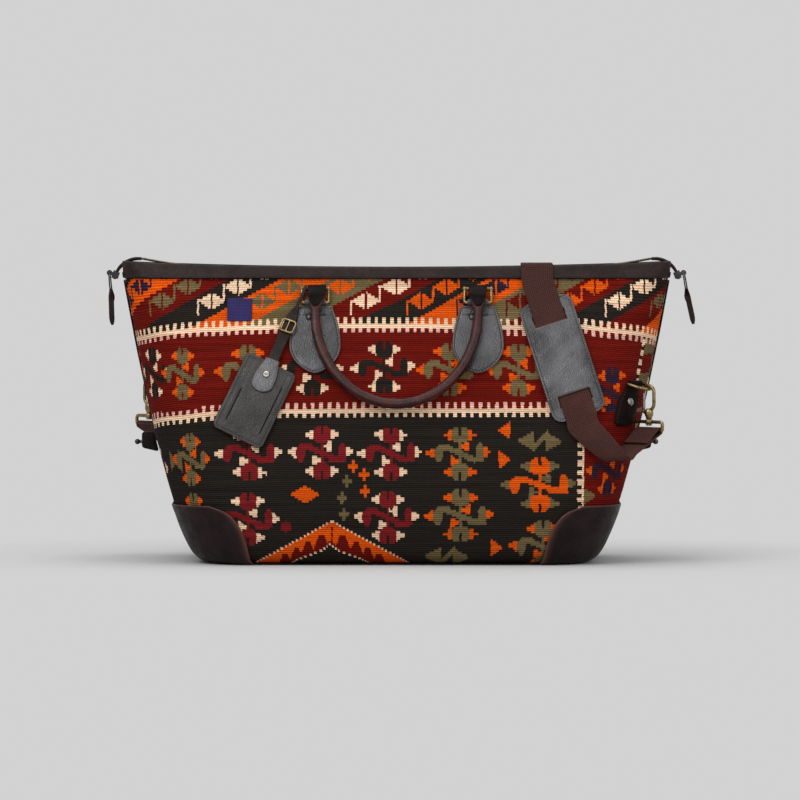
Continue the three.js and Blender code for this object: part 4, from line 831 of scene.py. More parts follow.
def webbing_finish(colour):
    """Cotton webbing: a close basket weave with pale flecks."""
    n = new_finish("webbing")
    weave = n.place(uv="weave")
    uneven = {"Distortion": 1.6, "Detail": 2.0, "Detail Scale": 2.0}
    check = n.maths("MULTIPLY", n.wave(weave, 150.0, "X", uneven), n.wave(weave, 128.0, "Y", uneven))
    fibres = n.noise(n.place((900.0, 700.0, 1.0), uv="weave"), 1.0, 5.0, 0.7)
    base = n.mix(n.spread(fibres, 0.3, 0.7), tint(colour, 0.6), tint(colour, 1.4))
    # Painted shade: the low places of the weave, where threads pass under, are darkened.
    base = n.mix(n.spread(check, 0.0, 0.45, 0.8, 0.0), base, tint(colour, 0.3))
    base = n.mix(n.spread(n.noise(weave, 18.0, 4.0), 0.45, 0.72, 0.0, 0.4), base, tint(colour, 1.5))
    n.finish(base, n.spread(fibres, 0.3, 0.7, 0.8, 0.95), n.bump(check, 0.0006, 0.8), specular=0.15)


def cloth_finish(name, colour, threads):
    """Plain-woven cloth seen in Object coordinates."""
    n = new_finish(name)
    place = n.place()
    warp, weft = (n.wave(place, threads / 6, axis, {"Distortion": 0.8, "Detail": 2.0}) for axis in "XZ")
    threads_up = n.maths("MULTIPLY", warp, weft)
    mottle = n.noise(place, 60.0, 5.0)
    base = n.mix(n.spread(mottle, 0.3, 0.7), tint(colour, 0.75), tint(colour, 1.3))
    # Painted shade: where no thread is up, the cloth is darkened.
    base = n.mix(n.spread(threads_up, 0.0, 0.4, 0.4, 0.0), base, tint(colour, 0.45))
    n.finish(base, n.spread(mottle, 0.3, 0.7, 0.8, 0.95), n.bump(threads_up, 0.0004, 0.6), specular=0.25)


def metal_finish(name, colour, tarnish, shine):
    """Brushed, slightly tarnished metal."""
    n = new_finish(name)
    place = n.place()
    cloud = n.spread(n.noise(place, 210.0, 6.0, 0.65), 0.42, 0.72)
    base = n.mix(cloud, colour, tarnish)
    scratches = n.noise(n.place((900.0, 900.0, 120.0)), 1.0, 4.0, 0.6)
    roughness = n.maths("ADD", n.spread(cloud, 0.0, 1.0, shine - 0.06, shine + 0.2),
                        n.spread(scratches, 0.3, 0.7, -0.05, 0.08))
    n.finish(base, roughness, n.bump(scratches, 0.00006, 0.5), metallic=1.0)


def thread_finish(colour):
    """Waxed thread with a twist."""
    n = new_finish("thread")
    place = n.place()
    twist = n.noise(place, 1800.0, 3.0)
    base = n.mix(n.spread(twist, 0.35, 0.65), tint(colour, 0.7), tint(colour, 1.25))
    n.finish(base, n.spread(twist, 0.3, 0.7, 0.55, 0.75), n.bump(twist, 0.0001, 0.4))


def solid(*rgb):
    return (*srgb(*rgb), 1.0)


def make_finishes():
    """Makes every finish of the bag in the colours that are set."""
    dyes = {key: (*getattr(looks().leathers, key), 1.0) for key in BagLeathers.__annotations__}
    kilim_finish()
    # On the charcoal leather the wide, strong clouds and the pale spots are partly painted sheen and painted
    # highlights.
    for name, edge, feel in (
            ("rim", tint(dyes["rim"], 0.4), dict(cloud=(0.6, 1.35), specular=0.14)),
            ("corner", solid(88, 58, 50), dict(gloss=0.4, cloud=(0.65, 1.3), worn_and_highlight=0.15, specular=0.12)),
            ("charcoal", solid(74, 60, 56), dict(gloss=0.26, cloud=(0.38, 1.62), worn_and_highlight=0.15, specular=0.5,
                                                 clouds=20.0, detail=2.0, crease=0.24)),
            ("handle", tint(dyes["handle"], 0.4), dict(grain=900.0, gloss=0.27, worn_and_highlight=0.2, specular=0.26)),
            ("tag", solid(62, 42, 40), dict(gloss=0.34, cloud=(0.6, 1.4), specular=0.3, clouds=30.0,
                                            detail=4.0)),
            ("tab", tint(dyes["tab"], 2.0), dict(gloss=0.45, worn_and_highlight=0.05, specular=0.05))):
        leather_finish(name, dyes[name], edge, **feel)
    webbing_finish(dyes["webbing"])
    for name, colour, threads in (
            ("label", dyes["label"], 620.0), ("zip_cloth", solid(42, 36, 32), 700.0),
            ("board", solid(120, 100, 76), 240.0), ("cotton", solid(111, 100, 80), 360.0)):
        cloth_finish(name, colour, threads)
    thread_finish(dyes["thread"])
    for name, colour, tarnish, shine in (
            ("brass", dyes["brass"], solid(88, 70, 44), 0.3),
            ("gunmetal", solid(78, 76, 78), solid(40, 38, 40), 0.34),
            ("steel", solid(168, 166, 160), solid(96, 90, 82), 0.28)):
        metal_finish(name, colour, tarnish, shine)


# Sheets of leather and cloth as closed shells

def soft_steps(start, end, count, lip=0.8):
    """Even steps with close ones next to both ends, for a rounded edge."""
    inner = np.linspace(start + lip, end - lip, count + 1)
    return np.concatenate([[start, start + lip * 0.3], inner, [end - lip * 0.3, end]])


def shell(place, us, vs, low, high, relief=even, keep=None, seam=even):
    """Closed sheet over a grid; the outer side is rounded towards its edges.

    place takes u, v and offset arrays. keep takes u and v of each cell and tells which stay; seam gives the
    depth of the sewn groove and, on the tag, the painted shade of its slits. Gives points, faces and how near
    each point is to a cut edge.
    """
    u, v = np.meshgrid(us, vs, indexing="ij")
    rows, columns = u.shape
    cu, cv = (u[:-1, :-1] + u[1:, 1:]) / 2, (v[:-1, :-1] + v[1:, 1:]) / 2
    cells = np.ones(cu.shape, dtype=bool) if keep is None else keep(cu, cv)
    padded = np.pad(cells, 1)
    whole = padded[:-1, :-1] & padded[1:, :-1] & padded[:-1, 1:] & padded[1:, 1:]
    depth = np.zeros(u.shape, dtype=int)
    for _ in range(3):
        around = np.pad(depth, 1)
        least = np.min([around[i:i + rows, j:j + columns] for i in range(3) for j in range(3)], axis=0)
        depth = np.where(whole, least + 1, 0)
    fall = np.array([0.5, 0.14, 0.0, 0.0])[depth]
    top = high - (high - low) * fall + relief(u, v) * (depth > 1)
    outer, inner = place(u, v, top), place(u, v, np.full(u.shape, float(low)))
    faces = grid_quads(rows, columns)[cells.ravel()][:, [0, 3, 2, 1]]
    edges = {(a, b): None for face in faces.tolist() for a, b in zip(face, face[1:] + face[:1])}
    under = u.size
    walls = [[b, a, a + under, b + under] for a, b in edges if (b, a) not in edges]
    faces = np.vstack([faces, faces[:, ::-1] + under, walls])
    near = np.array([1.0, 0.85, 0.25, 0.0])[depth] - seam(u, v)
    points = np.concatenate([outer.reshape(-1, 3), inner.reshape(-1, 3)])
    edge = np.concatenate([near.ravel(), np.full(under, 0.6)])
    used, number = np.unique(faces, return_inverse=True)
    return points[used], number.reshape(faces.shape).tolist(), edge[used]


def outline_point(station, z, offset):
    """Station 0 is the middle of the front, 1 to 2 the round corner, 3 the end seam."""
    radius, along = corner_radius(z), abs(station)
    run = ((half_length(z) - radius) * np.minimum(along, 1) + radius * pi / 2 * np.clip(along - 1, 0, 1)
           + (half_depth(z) - radius - SEAM) * np.maximum(along - 2, 0))
    return on_cloth(np.sign(station) * run, z, offset)


def outline_ring(z, offset):
    stations = np.concatenate([np.linspace(1, 2, 16), [2.5]])
    stations = np.concatenate([-stations[::-1], np.linspace(-0.9, 0.9, 9), stations])
    half = outline_point(stations, z, offset)
    return np.vstack([half, half * HALF_TURN])


def opposite(side):
    """A front corner and the back one that a half turn makes of it."""
    return (f"front_{side}", vec(1, 1, 1)), (f"back_{'right' if side == 'left' else 'left'}", HALF_TURN)


# Inside and under the bag

LINING_FLOOR, LINING_THICK = 8.9, 1


def build_inside():
    outside = -KILIM - 4 * GAP
    inside = outside - LINING_THICK
    walls = np.linspace(LINING_FLOOR + BOTTOM_ROLL, RIM_BOTTOM - GAP, 40)
    def fold(z, offset):
        ring = outline_ring(z, offset)
        return ring * (1 - 0.004 * abs(wobble(ring[:, :1] / 40, ring[:, 1:2] / 30 + z / 50, 5)))
    rings = [outline_ring(LINING_FLOOR, outside - BOTTOM_ROLL), *(fold(z, outside) for z in walls),
             *(fold(z, inside) for z in walls[::-1]),
             outline_ring(LINING_FLOOR + LINING_THICK, inside - BOTTOM_ROLL)]
    lining = add_piece("lining_cloth", loft(rings), "cotton", "bag", "lining", "cotton")
    for name, node, z, thick, inset, look, slot in (
            ("base_leather", "base_panel", 0.0, 2.0, -10, "corner", "corner_leather"),
            ("base_stiffener", "base_board", 5.6, 3.0, -14, "board", "board")):
        flat = outline_ring(PANEL_BOTTOM, inset)
        centre = flat.mean(axis=0)
        rings = []
        for inward, height in ((60, 0), (1.2, 0), (0.35, 0.25), (0, thick / 2), (0.35, thick - 0.25),
                               (1.2, thick), (60, thick)):
            ring = flat - unit(flat - centre) * inward
            ring[:, 2] = z + height
            rings.append(ring)
        add_piece(name, loft(rings), look, "bag", node, slot)


# Leather at the corners, mouth and ends

PATCH_HEIGHT, PATCH_GAP, PATCH_THICK, PATCH_UNDER, STIFF_CORNER = 60, 1.2, 1.8, 58, 0.62
PATCH_EDGE = ((3, 8), (10, 4.6), (18, 2), (26, 0.5), (34, 0), (42, 1.2), (49.5, 4.4), (54, 9), (57, 15),
              (60, 23))
RIM_BOTTOM, RIM_ENDS, RIM_MIDDLE, RIM_LAP, RIM_BEND, RIM_SEAM = 286, 303.5, 297, 4, 1.6, 2.6
STRIP_WIDTH, STRIP_TOP, STRIP_BOTTOM, STRIP_THICK, STRIP_SEAM = 18, 284, 96, 1.4, 2.4
STUD_Z, STUD_HEIGHT, STUD_REACH, STUD_WIDTH, STUD_RISE = 120, 20, 15, 9, 4


def rim_top(x):
    return RIM_MIDDLE + (RIM_ENDS - RIM_MIDDLE) * (2 * x / MOUTH_LENGTH) ** 2


def patch_place(sign):
    """Places a share round the corner, a share upwards and an offset on a bottom corner."""
    roll_length = BOTTOM_ROLL * radians(PATCH_UNDER)
    def place(around, share, out):
        run = (roll_length + PATCH_HEIGHT - ROLL_CENTRE) * share
        angle = PATCH_UNDER * np.clip(1 - run / roll_length, 0, 1)
        offset, z = roll_under(angle, BOTTOM_ROLL + out, STIFF_CORNER)
        z = np.where(run > roll_length, ROLL_CENTRE + run - roll_length, z)
        offset = np.where(run > roll_length, out, offset)
        start = 1 + at_line(z, PATCH_EDGE) / 90
        return outline_point(sign * (start + (3 - start) * around), z, offset)
    return place


def build_corners():
    stations = np.concatenate([[0, 0.006, 0.02], np.linspace(0.04, 0.5, 34), np.linspace(0.5, 0.96, 9)[1:],
                               [0.98, 0.994, 1]])
    shares = soft_steps(0, 1, 40, 0.02)
    for side, sign in LEFT_RIGHT:
        def relief(u, v, seed=sign):
            return 0.22 * wobble(u * 22, v * 9, 11 + seed)
        part = shell(patch_place(sign), stations, shares, PATCH_GAP, PATCH_GAP + PATCH_THICK, relief)
        for where, turn in opposite(side):
            add_piece(f"corner_{where}", part, "corner", "bag", f"corner_patch_{where}", "corner_leather",
                      turn)


def rim_section(top):
    """Offset and height pairs round the folded binding, with soft outer bends."""
    outside, inside, low = GAP + TRIM, -KILIM - GAP - TRIM, PANEL_TOP - RIM_LAP
    turn = [(RIM_BEND * cos(a), RIM_BEND * sin(a)) for a in np.linspace(0, pi / 2, 5)]
    bend = [(outside - RIM_BEND + a, top - RIM_BEND + b) for a, b in turn]
    back = [(inside + RIM_BEND - b, top - RIM_BEND + a) for a, b in turn]
    front = [(outside, z) for z in np.linspace(RIM_BOTTOM + 0.7, top - RIM_BEND, 9)[:-1]]
    return np.array([(GAP, RIM_BOTTOM), (outside - 0.6, RIM_BOTTOM), *front, *bend, *back, (inside, low),
                     (inside + TRIM, low), (inside + TRIM, PANEL_TOP + GAP), (GAP, PANEL_TOP + GAP)])


def build_rims():
    drop, low = 1 + 63 / 90, 1 + 73 / 90
    half = np.concatenate([np.linspace(0, 1, 60), np.linspace(1, drop, 12)[1:], np.linspace(drop, low, 5)[1:],
                           np.linspace(low, 3, 12)[1:]])
    stations = np.concatenate([-half[:0:-1], half])
    rings = []
    for station in stations:
        x = outline_point(station, RIM_BOTTOM, 0)[0]
        share = smoothstep(abs(station), drop, low)
        top = rim_top(x) * (1 - share) + (PANEL_TOP + GAP + 1.3) * share
        section = rim_section(max(top, PANEL_TOP + GAP + 2.0))
        waver = 0.3 * wobble(section[:, 0] * 0.1 + x / 17, section[:, 1] / 9, 21) - 0.3
        offset = section[:, 0] + np.where(section[:, 0] > GAP + 0.5, waver, 0)
        rings.append(outline_point(station, section[:, 1], offset))
    points, faces = loft(rings)
    edge = np.zeros(len(points))
    size = len(rings[0])
    edge[:len(stations) * size] = np.tile(np.arange(size) < 2, len(stations))
    for side, turn in FRONT_BACK:
        add_piece(f"binding_{side}", (points, faces, edge), "rim", "bag", f"rim_{side}", "rim_leather", turn)


def build_ends():
    half, low, high = STRIP_WIDTH / 2, STUD_Z - STUD_HEIGHT / 2, STUD_Z + STUD_HEIGHT / 2
    tip = half_length(STUD_Z) + TRIM + 2 * GAP + STUD_REACH
    def foot(z):
        return half_length(z) + TRIM + 3 * GAP
    corners = [(foot(low), low), (tip, low + STUD_RISE), (tip, high), (foot(high), high)]
    ball = [(0.05, 0), (1.9, 0), (1.9, 0.5), (1.5, 0.7), (1.5, 1.5)]
    ball += [(2.8 * sin(a), 4.24 - 2.8 * cos(a)) for a in np.linspace(0.6, pi - 0.02, 12)]
    for side, sign in LEFT_RIGHT:
        def strip(y, z, offset, sign=sign):
            return np.stack([sign * (half_length(z) + offset), y, z], axis=-1)
        def relief(y, z, seed=sign):
            return 0.18 * wobble(y / 6, z / 15, 31 + seed)
        def tab(x, z, y, sign=sign):
            return np.stack([sign * x, y - STUD_WIDTH / 2, z], axis=-1)
        part = shell(strip, soft_steps(-half, half, 10), soft_steps(STRIP_BOTTOM, STRIP_TOP, 90),
                     GAP, GAP + STRIP_THICK, relief)
        add_piece(f"seam_strip_{side}", part, "rim", "bag", f"end_strip_{side}", "rim_leather")
        part = plate(rounded_loop(corners, 3.2), tab, STUD_WIDTH, lip=0.9)
        add_piece(f"stud_loop_{side}", part, "rim", "bag", f"stud_tab_{side}", "rim_leather")
        part = lathe(ball, vec(sign * (tip + GAP), 0, STUD_Z), vec(sign, 0, 0))
        add_piece(f"ball_stud_{side}", part, "gunmetal", "bag", f"tab_stud_{side}", "gunmetal")


LABEL_X, LABEL_Z, LABEL_WIDTH, LABEL_HEIGHT, LABEL_SEAM = -158, 255, 25, 22.5, 1.3


def build_label():
    us = soft_steps(LABEL_X - LABEL_WIDTH / 2, LABEL_X + LABEL_WIDTH / 2, 20, 0.5)
    vs = soft_steps(LABEL_Z - LABEL_HEIGHT / 2, LABEL_Z + LABEL_HEIGHT / 2, 20, 0.5)
    def relief(u, v):
        hem = np.minimum(LABEL_WIDTH / 2 - abs(u - LABEL_X), LABEL_HEIGHT / 2 - abs(v - LABEL_Z))
        return 0.12 * wobble(u / 4, v / 4, 41) - 0.25 * smoothstep(hem, 1.2, 2.6)
    part = shell(on_front, us, vs, GAP, GAP + 0.8, relief)
    label = add_piece("bare_label", part, "label", "bag", "label_patch", "label_cloth")


# Zip

ZIP_MIDDLE, ZIP_END, CHAIN_HALF, TAPE_HALF, TAPE_INNER = 292, 305.5, 258, 232, 3.3
TAIL_START, TAIL_RADIUS, TAIL_SWEEP, TAIL_WIDTH = 258.3, 24, 82, 11
TAIL_CENTRE, PULL_PIN = vec(261.8, 0, 281.5), vec(290.771, 0, 291.194)
PULL_TILT, PULL_LENGTH, PULL_HALF = {"left": -4, "right": 10}, 53, 2.75


def zip_height(x):
    return ZIP_MIDDLE + (ZIP_END - ZIP_MIDDLE) * (np.asarray(x, dtype=float) / CHAIN_HALF) ** 4


def build_zip():
    def tape(x, share, offset):
        z = zip_height(x)
        outer = half_depth(z + 0.5) - KILIM - GAP - TRIM - GAP
        sag = 0.1 * wobble(x / 11, share, 51) - 0.35 * np.sin(share * pi)
        return np.stack([x, -(TAPE_INNER + (outer - TAPE_INNER) * share), z + offset + sag], axis=-1)
    part = shell(tape, np.linspace(-TAPE_HALF, TAPE_HALF, 150), soft_steps(0, 1, 8, 0.06), -0.5, 0.5)
    for side, turn in FRONT_BACK:
        cloth = add_piece(f"zip_cloth_{side}", part, "zip_cloth", "bag", f"zip_tape_{side}", "zip_cloth",
                          turn)
    xs = np.linspace(-CHAIN_HALF, CHAIN_HALF, 160)
    core = strap_along(np.stack([xs, 0 * xs, zip_height(xs)], axis=1), Y_AXIS, 2.6, 0.9)
    add_piece("zip_core", core, "zip_cloth", "bag", "zip_chain", "zip_cloth")
    for side, sign in LEFT_RIGHT:
        turn = vec(sign, sign, 1)
        add_piece(f"zip_end_{side}", zip_tail(turn), "rim", "bag", f"zip_tail_{side}", "zip_cloth")
        add_piece(f"pull_strip_{side}", zip_pull(radians(PULL_TILT[side]), turn), "rim", f"zip_pull_{side}",
                  f"zip_pull_{side}", "tab_leather")
        refined(f"zip_slider_{side}", "gunmetal", f"zip_slider_{side}", "brass")


def zip_tail(turn):
    """Drooping end of the zip, folded in leather."""
    droop = arc(TAIL_CENTRE, UP, X_AXIS, TAIL_RADIUS, 0, TAIL_SWEEP, 40)
    centres = np.array([vec(TAIL_START, 0, droop[0][2])] + droop)
    thick = np.interp(np.arange(41), (0, 3, 24, 29, 40), (1.5, 1.75, 1.75, 1.5, 1.5))
    return band(centres * turn, np.tile(Y_AXIS, (41, 1)), np.cross(headings(centres), Y_AXIS) * turn,
                TAIL_WIDTH / 2, thick)


def zip_pull(tilt, turn):
    """Leather strip looped through the slider's eye, with a twist in its longer end."""
    down, out = vec(sin(tilt), 0, -cos(tilt)), vec(cos(tilt), 0, sin(tilt))
    runs = np.linspace(3.2, PULL_LENGTH, 16)
    long_side = [PULL_PIN + down * run + out * (0.62 + 0.3 * sin(run / 6)) for run in runs[::-1]]
    short_side = [PULL_PIN + down * run + out * (-0.62 - 0.02 * run) for run in runs[:9]]
    path = np.array(long_side + arc(PULL_PIN, out, -down, 2.2, -60, 240, 25) + short_side)
    along = headings(path)
    widths = np.full(len(path), PULL_HALF)
    widths[:2], widths[-2:] = (1.2, 2.3), (2.3, 1.2)
    twist = np.radians(88) * smoothstep((path - PULL_PIN) @ down, 14, 30)[:, None]
    wide = Y_AXIS * np.cos(twist) + np.cross(along, Y_AXIS) * np.sin(twist)
    return band(path * turn, wide * turn, np.cross(along, wide) * turn, widths, 0.6)


def refined(node, look, body, slot):
    """Merged and softly bevelled copy of a packed metal piece."""
    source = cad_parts[node]
    shape = bmesh.new()
    shape.from_mesh(source.data)
    shape.transform(source.matrix_world)
    bmesh.ops.remove_doubles(shape, verts=shape.verts, dist=2e-6)
    bmesh.ops.dissolve_limit(shape, angle_limit=radians(4), verts=shape.verts, edges=shape.edges)
    sharp = [e for e in shape.edges if len(e.link_faces) == 2 and e.calc_face_angle() > radians(50)]
    bmesh.ops.bevel(shape, geom=sharp, offset=0.00025, segments=2, affect="EDGES", profile=0.6)
    bmesh.ops.triangulate(shape, faces=shape.faces)
    bmesh.ops.recalc_face_normals(shape, faces=shape.faces)
    mesh = bpy.data.meshes.new(f"{node}_fine")
    shape.to_mesh(mesh)
    shape.free()
    place_piece(f"{node}_fine", mesh, look, body, node, slot)
    mesh.set_sharp_from_angle(angle=radians(38))


# Handles

HANDLE_X, PATCH_LEATHER, PATCH_SEAM = 82, 2.5, 2.4
PATCH_TOP, PATCH_WIDEST, PATCH_END, PATCH_CREASE = 259, 220, 192, 234
RING_WIRE, RING_WIDTH, RING_HEIGHT, RING_BAR, RING_STAND = 1.75, 27, 16, 262, 5
HANDLE_RADIUS, NECK_RADIUS, NECK_Z, HANDLE_LOW = 5.25, 4.6, 253, 162
LOOP_BORE, LOOP_RADIUS, LOOP_WIDTH, HANDLE_SEAM = 2.1, 3.7, 21, radians(52)
RING_LEAN = atan(float(half_depth(269) - half_depth(271)) / 2)
RING_UP = vec(0, sin(RING_LEAN), cos(RING_LEAN))
RING_OUT = vec(0, -cos(RING_LEAN), sin(RING_LEAN))
RIVET = [(0.05, 0), (3.7, 0), (3.7, 0.4), (3.3, 1.1), (2.4, 1.8), (1.2, 2.15), (0.02, 2.25)]


def ring_bar(x):
    return on_front(x, RING_BAR, RING_STAND)


def ring_top(x):
    return ring_bar(x) + RING_UP * RING_HEIGHT


def patch_outline(x, inset=0.0):
    share = np.linspace(0, 1, 15)
    upper = [(17 + 9 * sin(radians(90 * s)), PATCH_TOP + (PATCH_WIDEST - PATCH_TOP) * s) for s in share]
    lower = [(26 * (1 - s ** 2) ** 0.65, PATCH_WIDEST + (PATCH_END - PATCH_WIDEST) * s)
             for s in np.sin(np.linspace(0, pi / 2, 20))[1:]]
    right = np.array(upper + lower)
    outline = np.vstack([right, (right * vec(-1, 1))[-2::-1]])
    middle = vec(0, (PATCH_TOP + PATCH_END) / 2)
    spoke = outline - middle
    outline = middle + spoke * (1 - inset / np.linalg.norm(spoke, axis=1, keepdims=True))
    return outline + vec(x, 0)


def bar_loop(centre, tail):
    """Leather strip folded round a bar that runs along x."""
    path = list(tail) + arc(centre, RING_OUT, RING_UP, (LOOP_BORE + LOOP_RADIUS) / 2, -80, 200, 26)
    return strap_along(path, X_AXIS, LOOP_WIDTH / 2, (LOOP_RADIUS - LOOP_BORE) / 2)


def on_patch(u, v, height):
    return on_front(u, v, GAP + height)


def handle_patch(x, seed):
    def relief(u, v, distance):
        crease = -0.45 * np.exp(-((v - PATCH_CREASE + 0.8 * np.sin(u / 9)) / 1.3) ** 2)
        wrinkle = 0.25 * wobble((u - x) / 8, v / 11, seed) + 0.1 * wobble(u / 3, v / 3, seed + 1)
        return crease - 0.3 * seam_line(distance, PATCH_SEAM) + wrinkle
    patch = plate(patch_outline(x), on_patch, PATCH_LEATHER, 0.4, relief, inner=22, seam=PATCH_SEAM)
    loop = bar_loop(ring_bar(x), [on_front(x, z, 2.9) for z in (249, 253, 256)])
    return joined(patch, (*loop, np.full(len(loop[0]), -0.75)))


def handle_path():
    stand = GAP + PATCH_LEATHER + (HANDLE_RADIUS + GAP) / cos(RING_LEAN)
    fold = RING_STAND + (LOOP_RADIUS + NECK_RADIUS / 2 + 2 * GAP) / cos(RING_LEAN)
    def offset(z):
        return stand + (fold - stand) * np.clip(1 - (NECK_Z - z) / 30, 0, 1)
    def end(x):
        return [(ring_top(cap_x(x)) - RING_UP * 2.5 + RING_OUT * 3.2, 9.2, 0.9),
                (on_front((x + cap_x(x)) / 2, RING_BAR + LOOP_RADIUS, fold), 8.0, 1.6),
                (on_front(x, NECK_Z + 6, fold), 6.0, 2.8), (on_front(x, NECK_Z, fold), NECK_RADIUS, 4.2)]
    bow = []
    for angle in np.radians(np.linspace(0, 180, 40)[2:-2]):
        z = NECK_Z - (NECK_Z - HANDLE_LOW) * sin(angle)
        bow.append((on_front(-HANDLE_X * cos(angle), z, offset(z)), HANDLE_RADIUS, HANDLE_RADIUS))
    return end(-HANDLE_X) + bow + end(HANDLE_X)[::-1]


def handle_shape():
    rows = handle_path()
    rows = resample(np.array([[*centre, wide, thick] for centre, wide, thick in rows]), 200)
    centres, wide, thick = rows[:, :3], rows[:, 3], rows[:, 4]
    along = headings(centres)
    across = unit(np.cross(along, RING_OUT))
    out = np.cross(across, along)
    angle = np.linspace(0, 2 * pi, 28, endpoint=False)
    rings = []
    for k, (c, a, o, w, t) in enumerate(zip(centres, across, out, wide, thick)):
        seam = 0.75 * np.exp(-((angle - HANDLE_SEAM) / 0.2) ** 2) * smoothstep(min(k, 199 - k), 14, 26)
        crease = -0.12 - 0.12 * wobble(k / 3 + 0 * angle, angle, 61)
        rings.append(c + ((w + seam + crease) * np.cos(angle))[:, None] * a
                     + ((t + seam + crease) * np.sin(angle))[:, None] * o)
    return loft(rings)


def cap_x(x):
    return x + (1.9 if x < 0 else 0)


def handle_caps():
    """Black leather folded over each ring, with a pointed flap sewn to the handle's flared end."""
    path = handle_path()
    fold = path[2][0]
    caps = []
    for x in (-HANDLE_X, HANDLE_X):
        flap = [(on_front(x + (cap_x(x) - x) * share, z, 0) * vec(1, 0, 1)
                 + vec(0, fold[1] + (half_depth(fold[2]) - half_depth(z)), 0) + RING_OUT * lift, half)
                for z, half, lift, share in ((257.5, 0.9, 3.6, 0), (259, 3.2, 3.4, 0), (262, 5.4, 2.7, 0.3),
                                             (266, 7.2, 1.85, 0.6), (270, 8.4, 1.6, 0.9))]
        bend = [(point + RING_OUT * lift, 9.4) for point, lift in zip(
            arc(ring_top(cap_x(x)), RING_OUT, RING_UP, 3.4, 0, 205, 22), np.linspace(0.5, 0, 22) ** 2)]
        rows = resample(np.array([[*point, half] for point, half in flap + bend]), 60)
        caps.append(strap_along(rows[:, :3], X_AXIS, rows[:, 3], 0.5))
    return joined(*caps)


def carry_ring(x):
    half = RING_WIDTH / 2
    corners = [ring_bar(x - half), ring_bar(x + half), ring_top(x + half), ring_top(x - half)]
    ring = tube(rounded_loop(corners, 2.4), RING_WIRE, loop=True)
    profile = [(2.4 * sin(a), -2.4 * cos(a)) for a in np.linspace(0.05, pi - 0.05, 12)]
    balls = [lathe(profile, corner, RING_UP, 18) for corner in corners[2:]]
    return joined(ring, *balls)


def build_handles():
    for side, sign in LEFT_RIGHT:
        patch, ring = handle_patch(sign * HANDLE_X, 71 + sign), carry_ring(sign * HANDLE_X)
        for where, turn in opposite(side):
            add_piece(f"patch_{where}", patch, "charcoal", "bag", f"handle_patch_{where}", "charcoal_leather",
                      turn)
            add_piece(f"ring_{where}", ring, "brass", "bag", f"handle_ring_{where}", "brass", turn)
    roll, caps = handle_shape(), handle_caps()
    for side, turn in FRONT_BACK:
        body = f"handle_{side}"
        add_piece(f"rolled_handle_{side}", roll, "handle", body, body, "handle_leather", turn)
        add_piece(f"handle_caps_{side}", caps, "tab", body, None, "handle_leather", turn)
        rivets = joined(*(lathe(RIVET, on_front(x - 5.5, 247.5, GAP + 2.6) * turn, RING_OUT * turn)
                          for x in (-HANDLE_X, HANDLE_X)))
        add_piece(f"patch_rivets_{side}", rivets, "gunmetal", "bag", None, "charcoal_leather")


# Luggage tag

TAG_CENTRE, TAG_WIDTH, TAG_LENGTH, TAG_TILT, TAG_CORNER = (-142.5, 165), 55, 82, 26, 6
TAG_INNER, TAG_THICK, TAG_SEAM, TONGUE_HALF, BUCKLE_WIRE = 0.6, 2.6, 3.2, 0.9, 1.1
STRAP_FOOT, THONG_X = (-134, 183), -91.5
TAG_SLITS = ((-17.0, -29, 6), (19.4, -27, 23))
SNAP = ((0.05, 0), (3.6, 0), (3.6, 0.5), (3.1, 1.2), (2.4, 1.5), (2.2, 1.35), (1.6, 1.6), (0.8, 2.1),
        (0.02, 2.2))


def tag_place(across, along, offset):
    tilt = radians(TAG_TILT)
    half_w, half_l = TAG_WIDTH / 2, TAG_LENGTH / 2
    past = np.maximum(abs(along) - half_l + TAG_CORNER, 0)
    room = np.sqrt(np.maximum(TAG_CORNER ** 2 - past ** 2, 0)) / TAG_CORNER
    spare = np.maximum(abs(across) - half_w + TAG_CORNER, 0)
    across = np.sign(across) * (np.minimum(abs(across), half_w - TAG_CORNER) + spare * np.maximum(room, 0.12))
    return on_front(TAG_CENTRE[0] + across * cos(tilt) + along * sin(tilt),
                    TAG_CENTRE[1] - across * sin(tilt) + along * cos(tilt), offset)


def tag_strap_point(share):
    top = ring_top(THONG_X) + RING_OUT * 3.3
    high = -top[1] - half_depth(top[2])
    rise = smoothstep(share, 0.68, 0.82)
    foot = TAG_INNER + TAG_THICK + 3 * GAP + TONGUE_HALF
    return on_front(STRAP_FOOT[0] + (top[0] - STRAP_FOOT[0]) * share,
                    STRAP_FOOT[1] + (top[2] - STRAP_FOOT[1]) * share, foot + (high - foot) * rise)


def tag_strap_frame(share):
    along = unit(tag_strap_point(share + 0.02) - tag_strap_point(share - 0.02))
    across = unit(np.cross(along, RING_OUT))
    return tag_strap_point(share), along, across, np.cross(across, along)


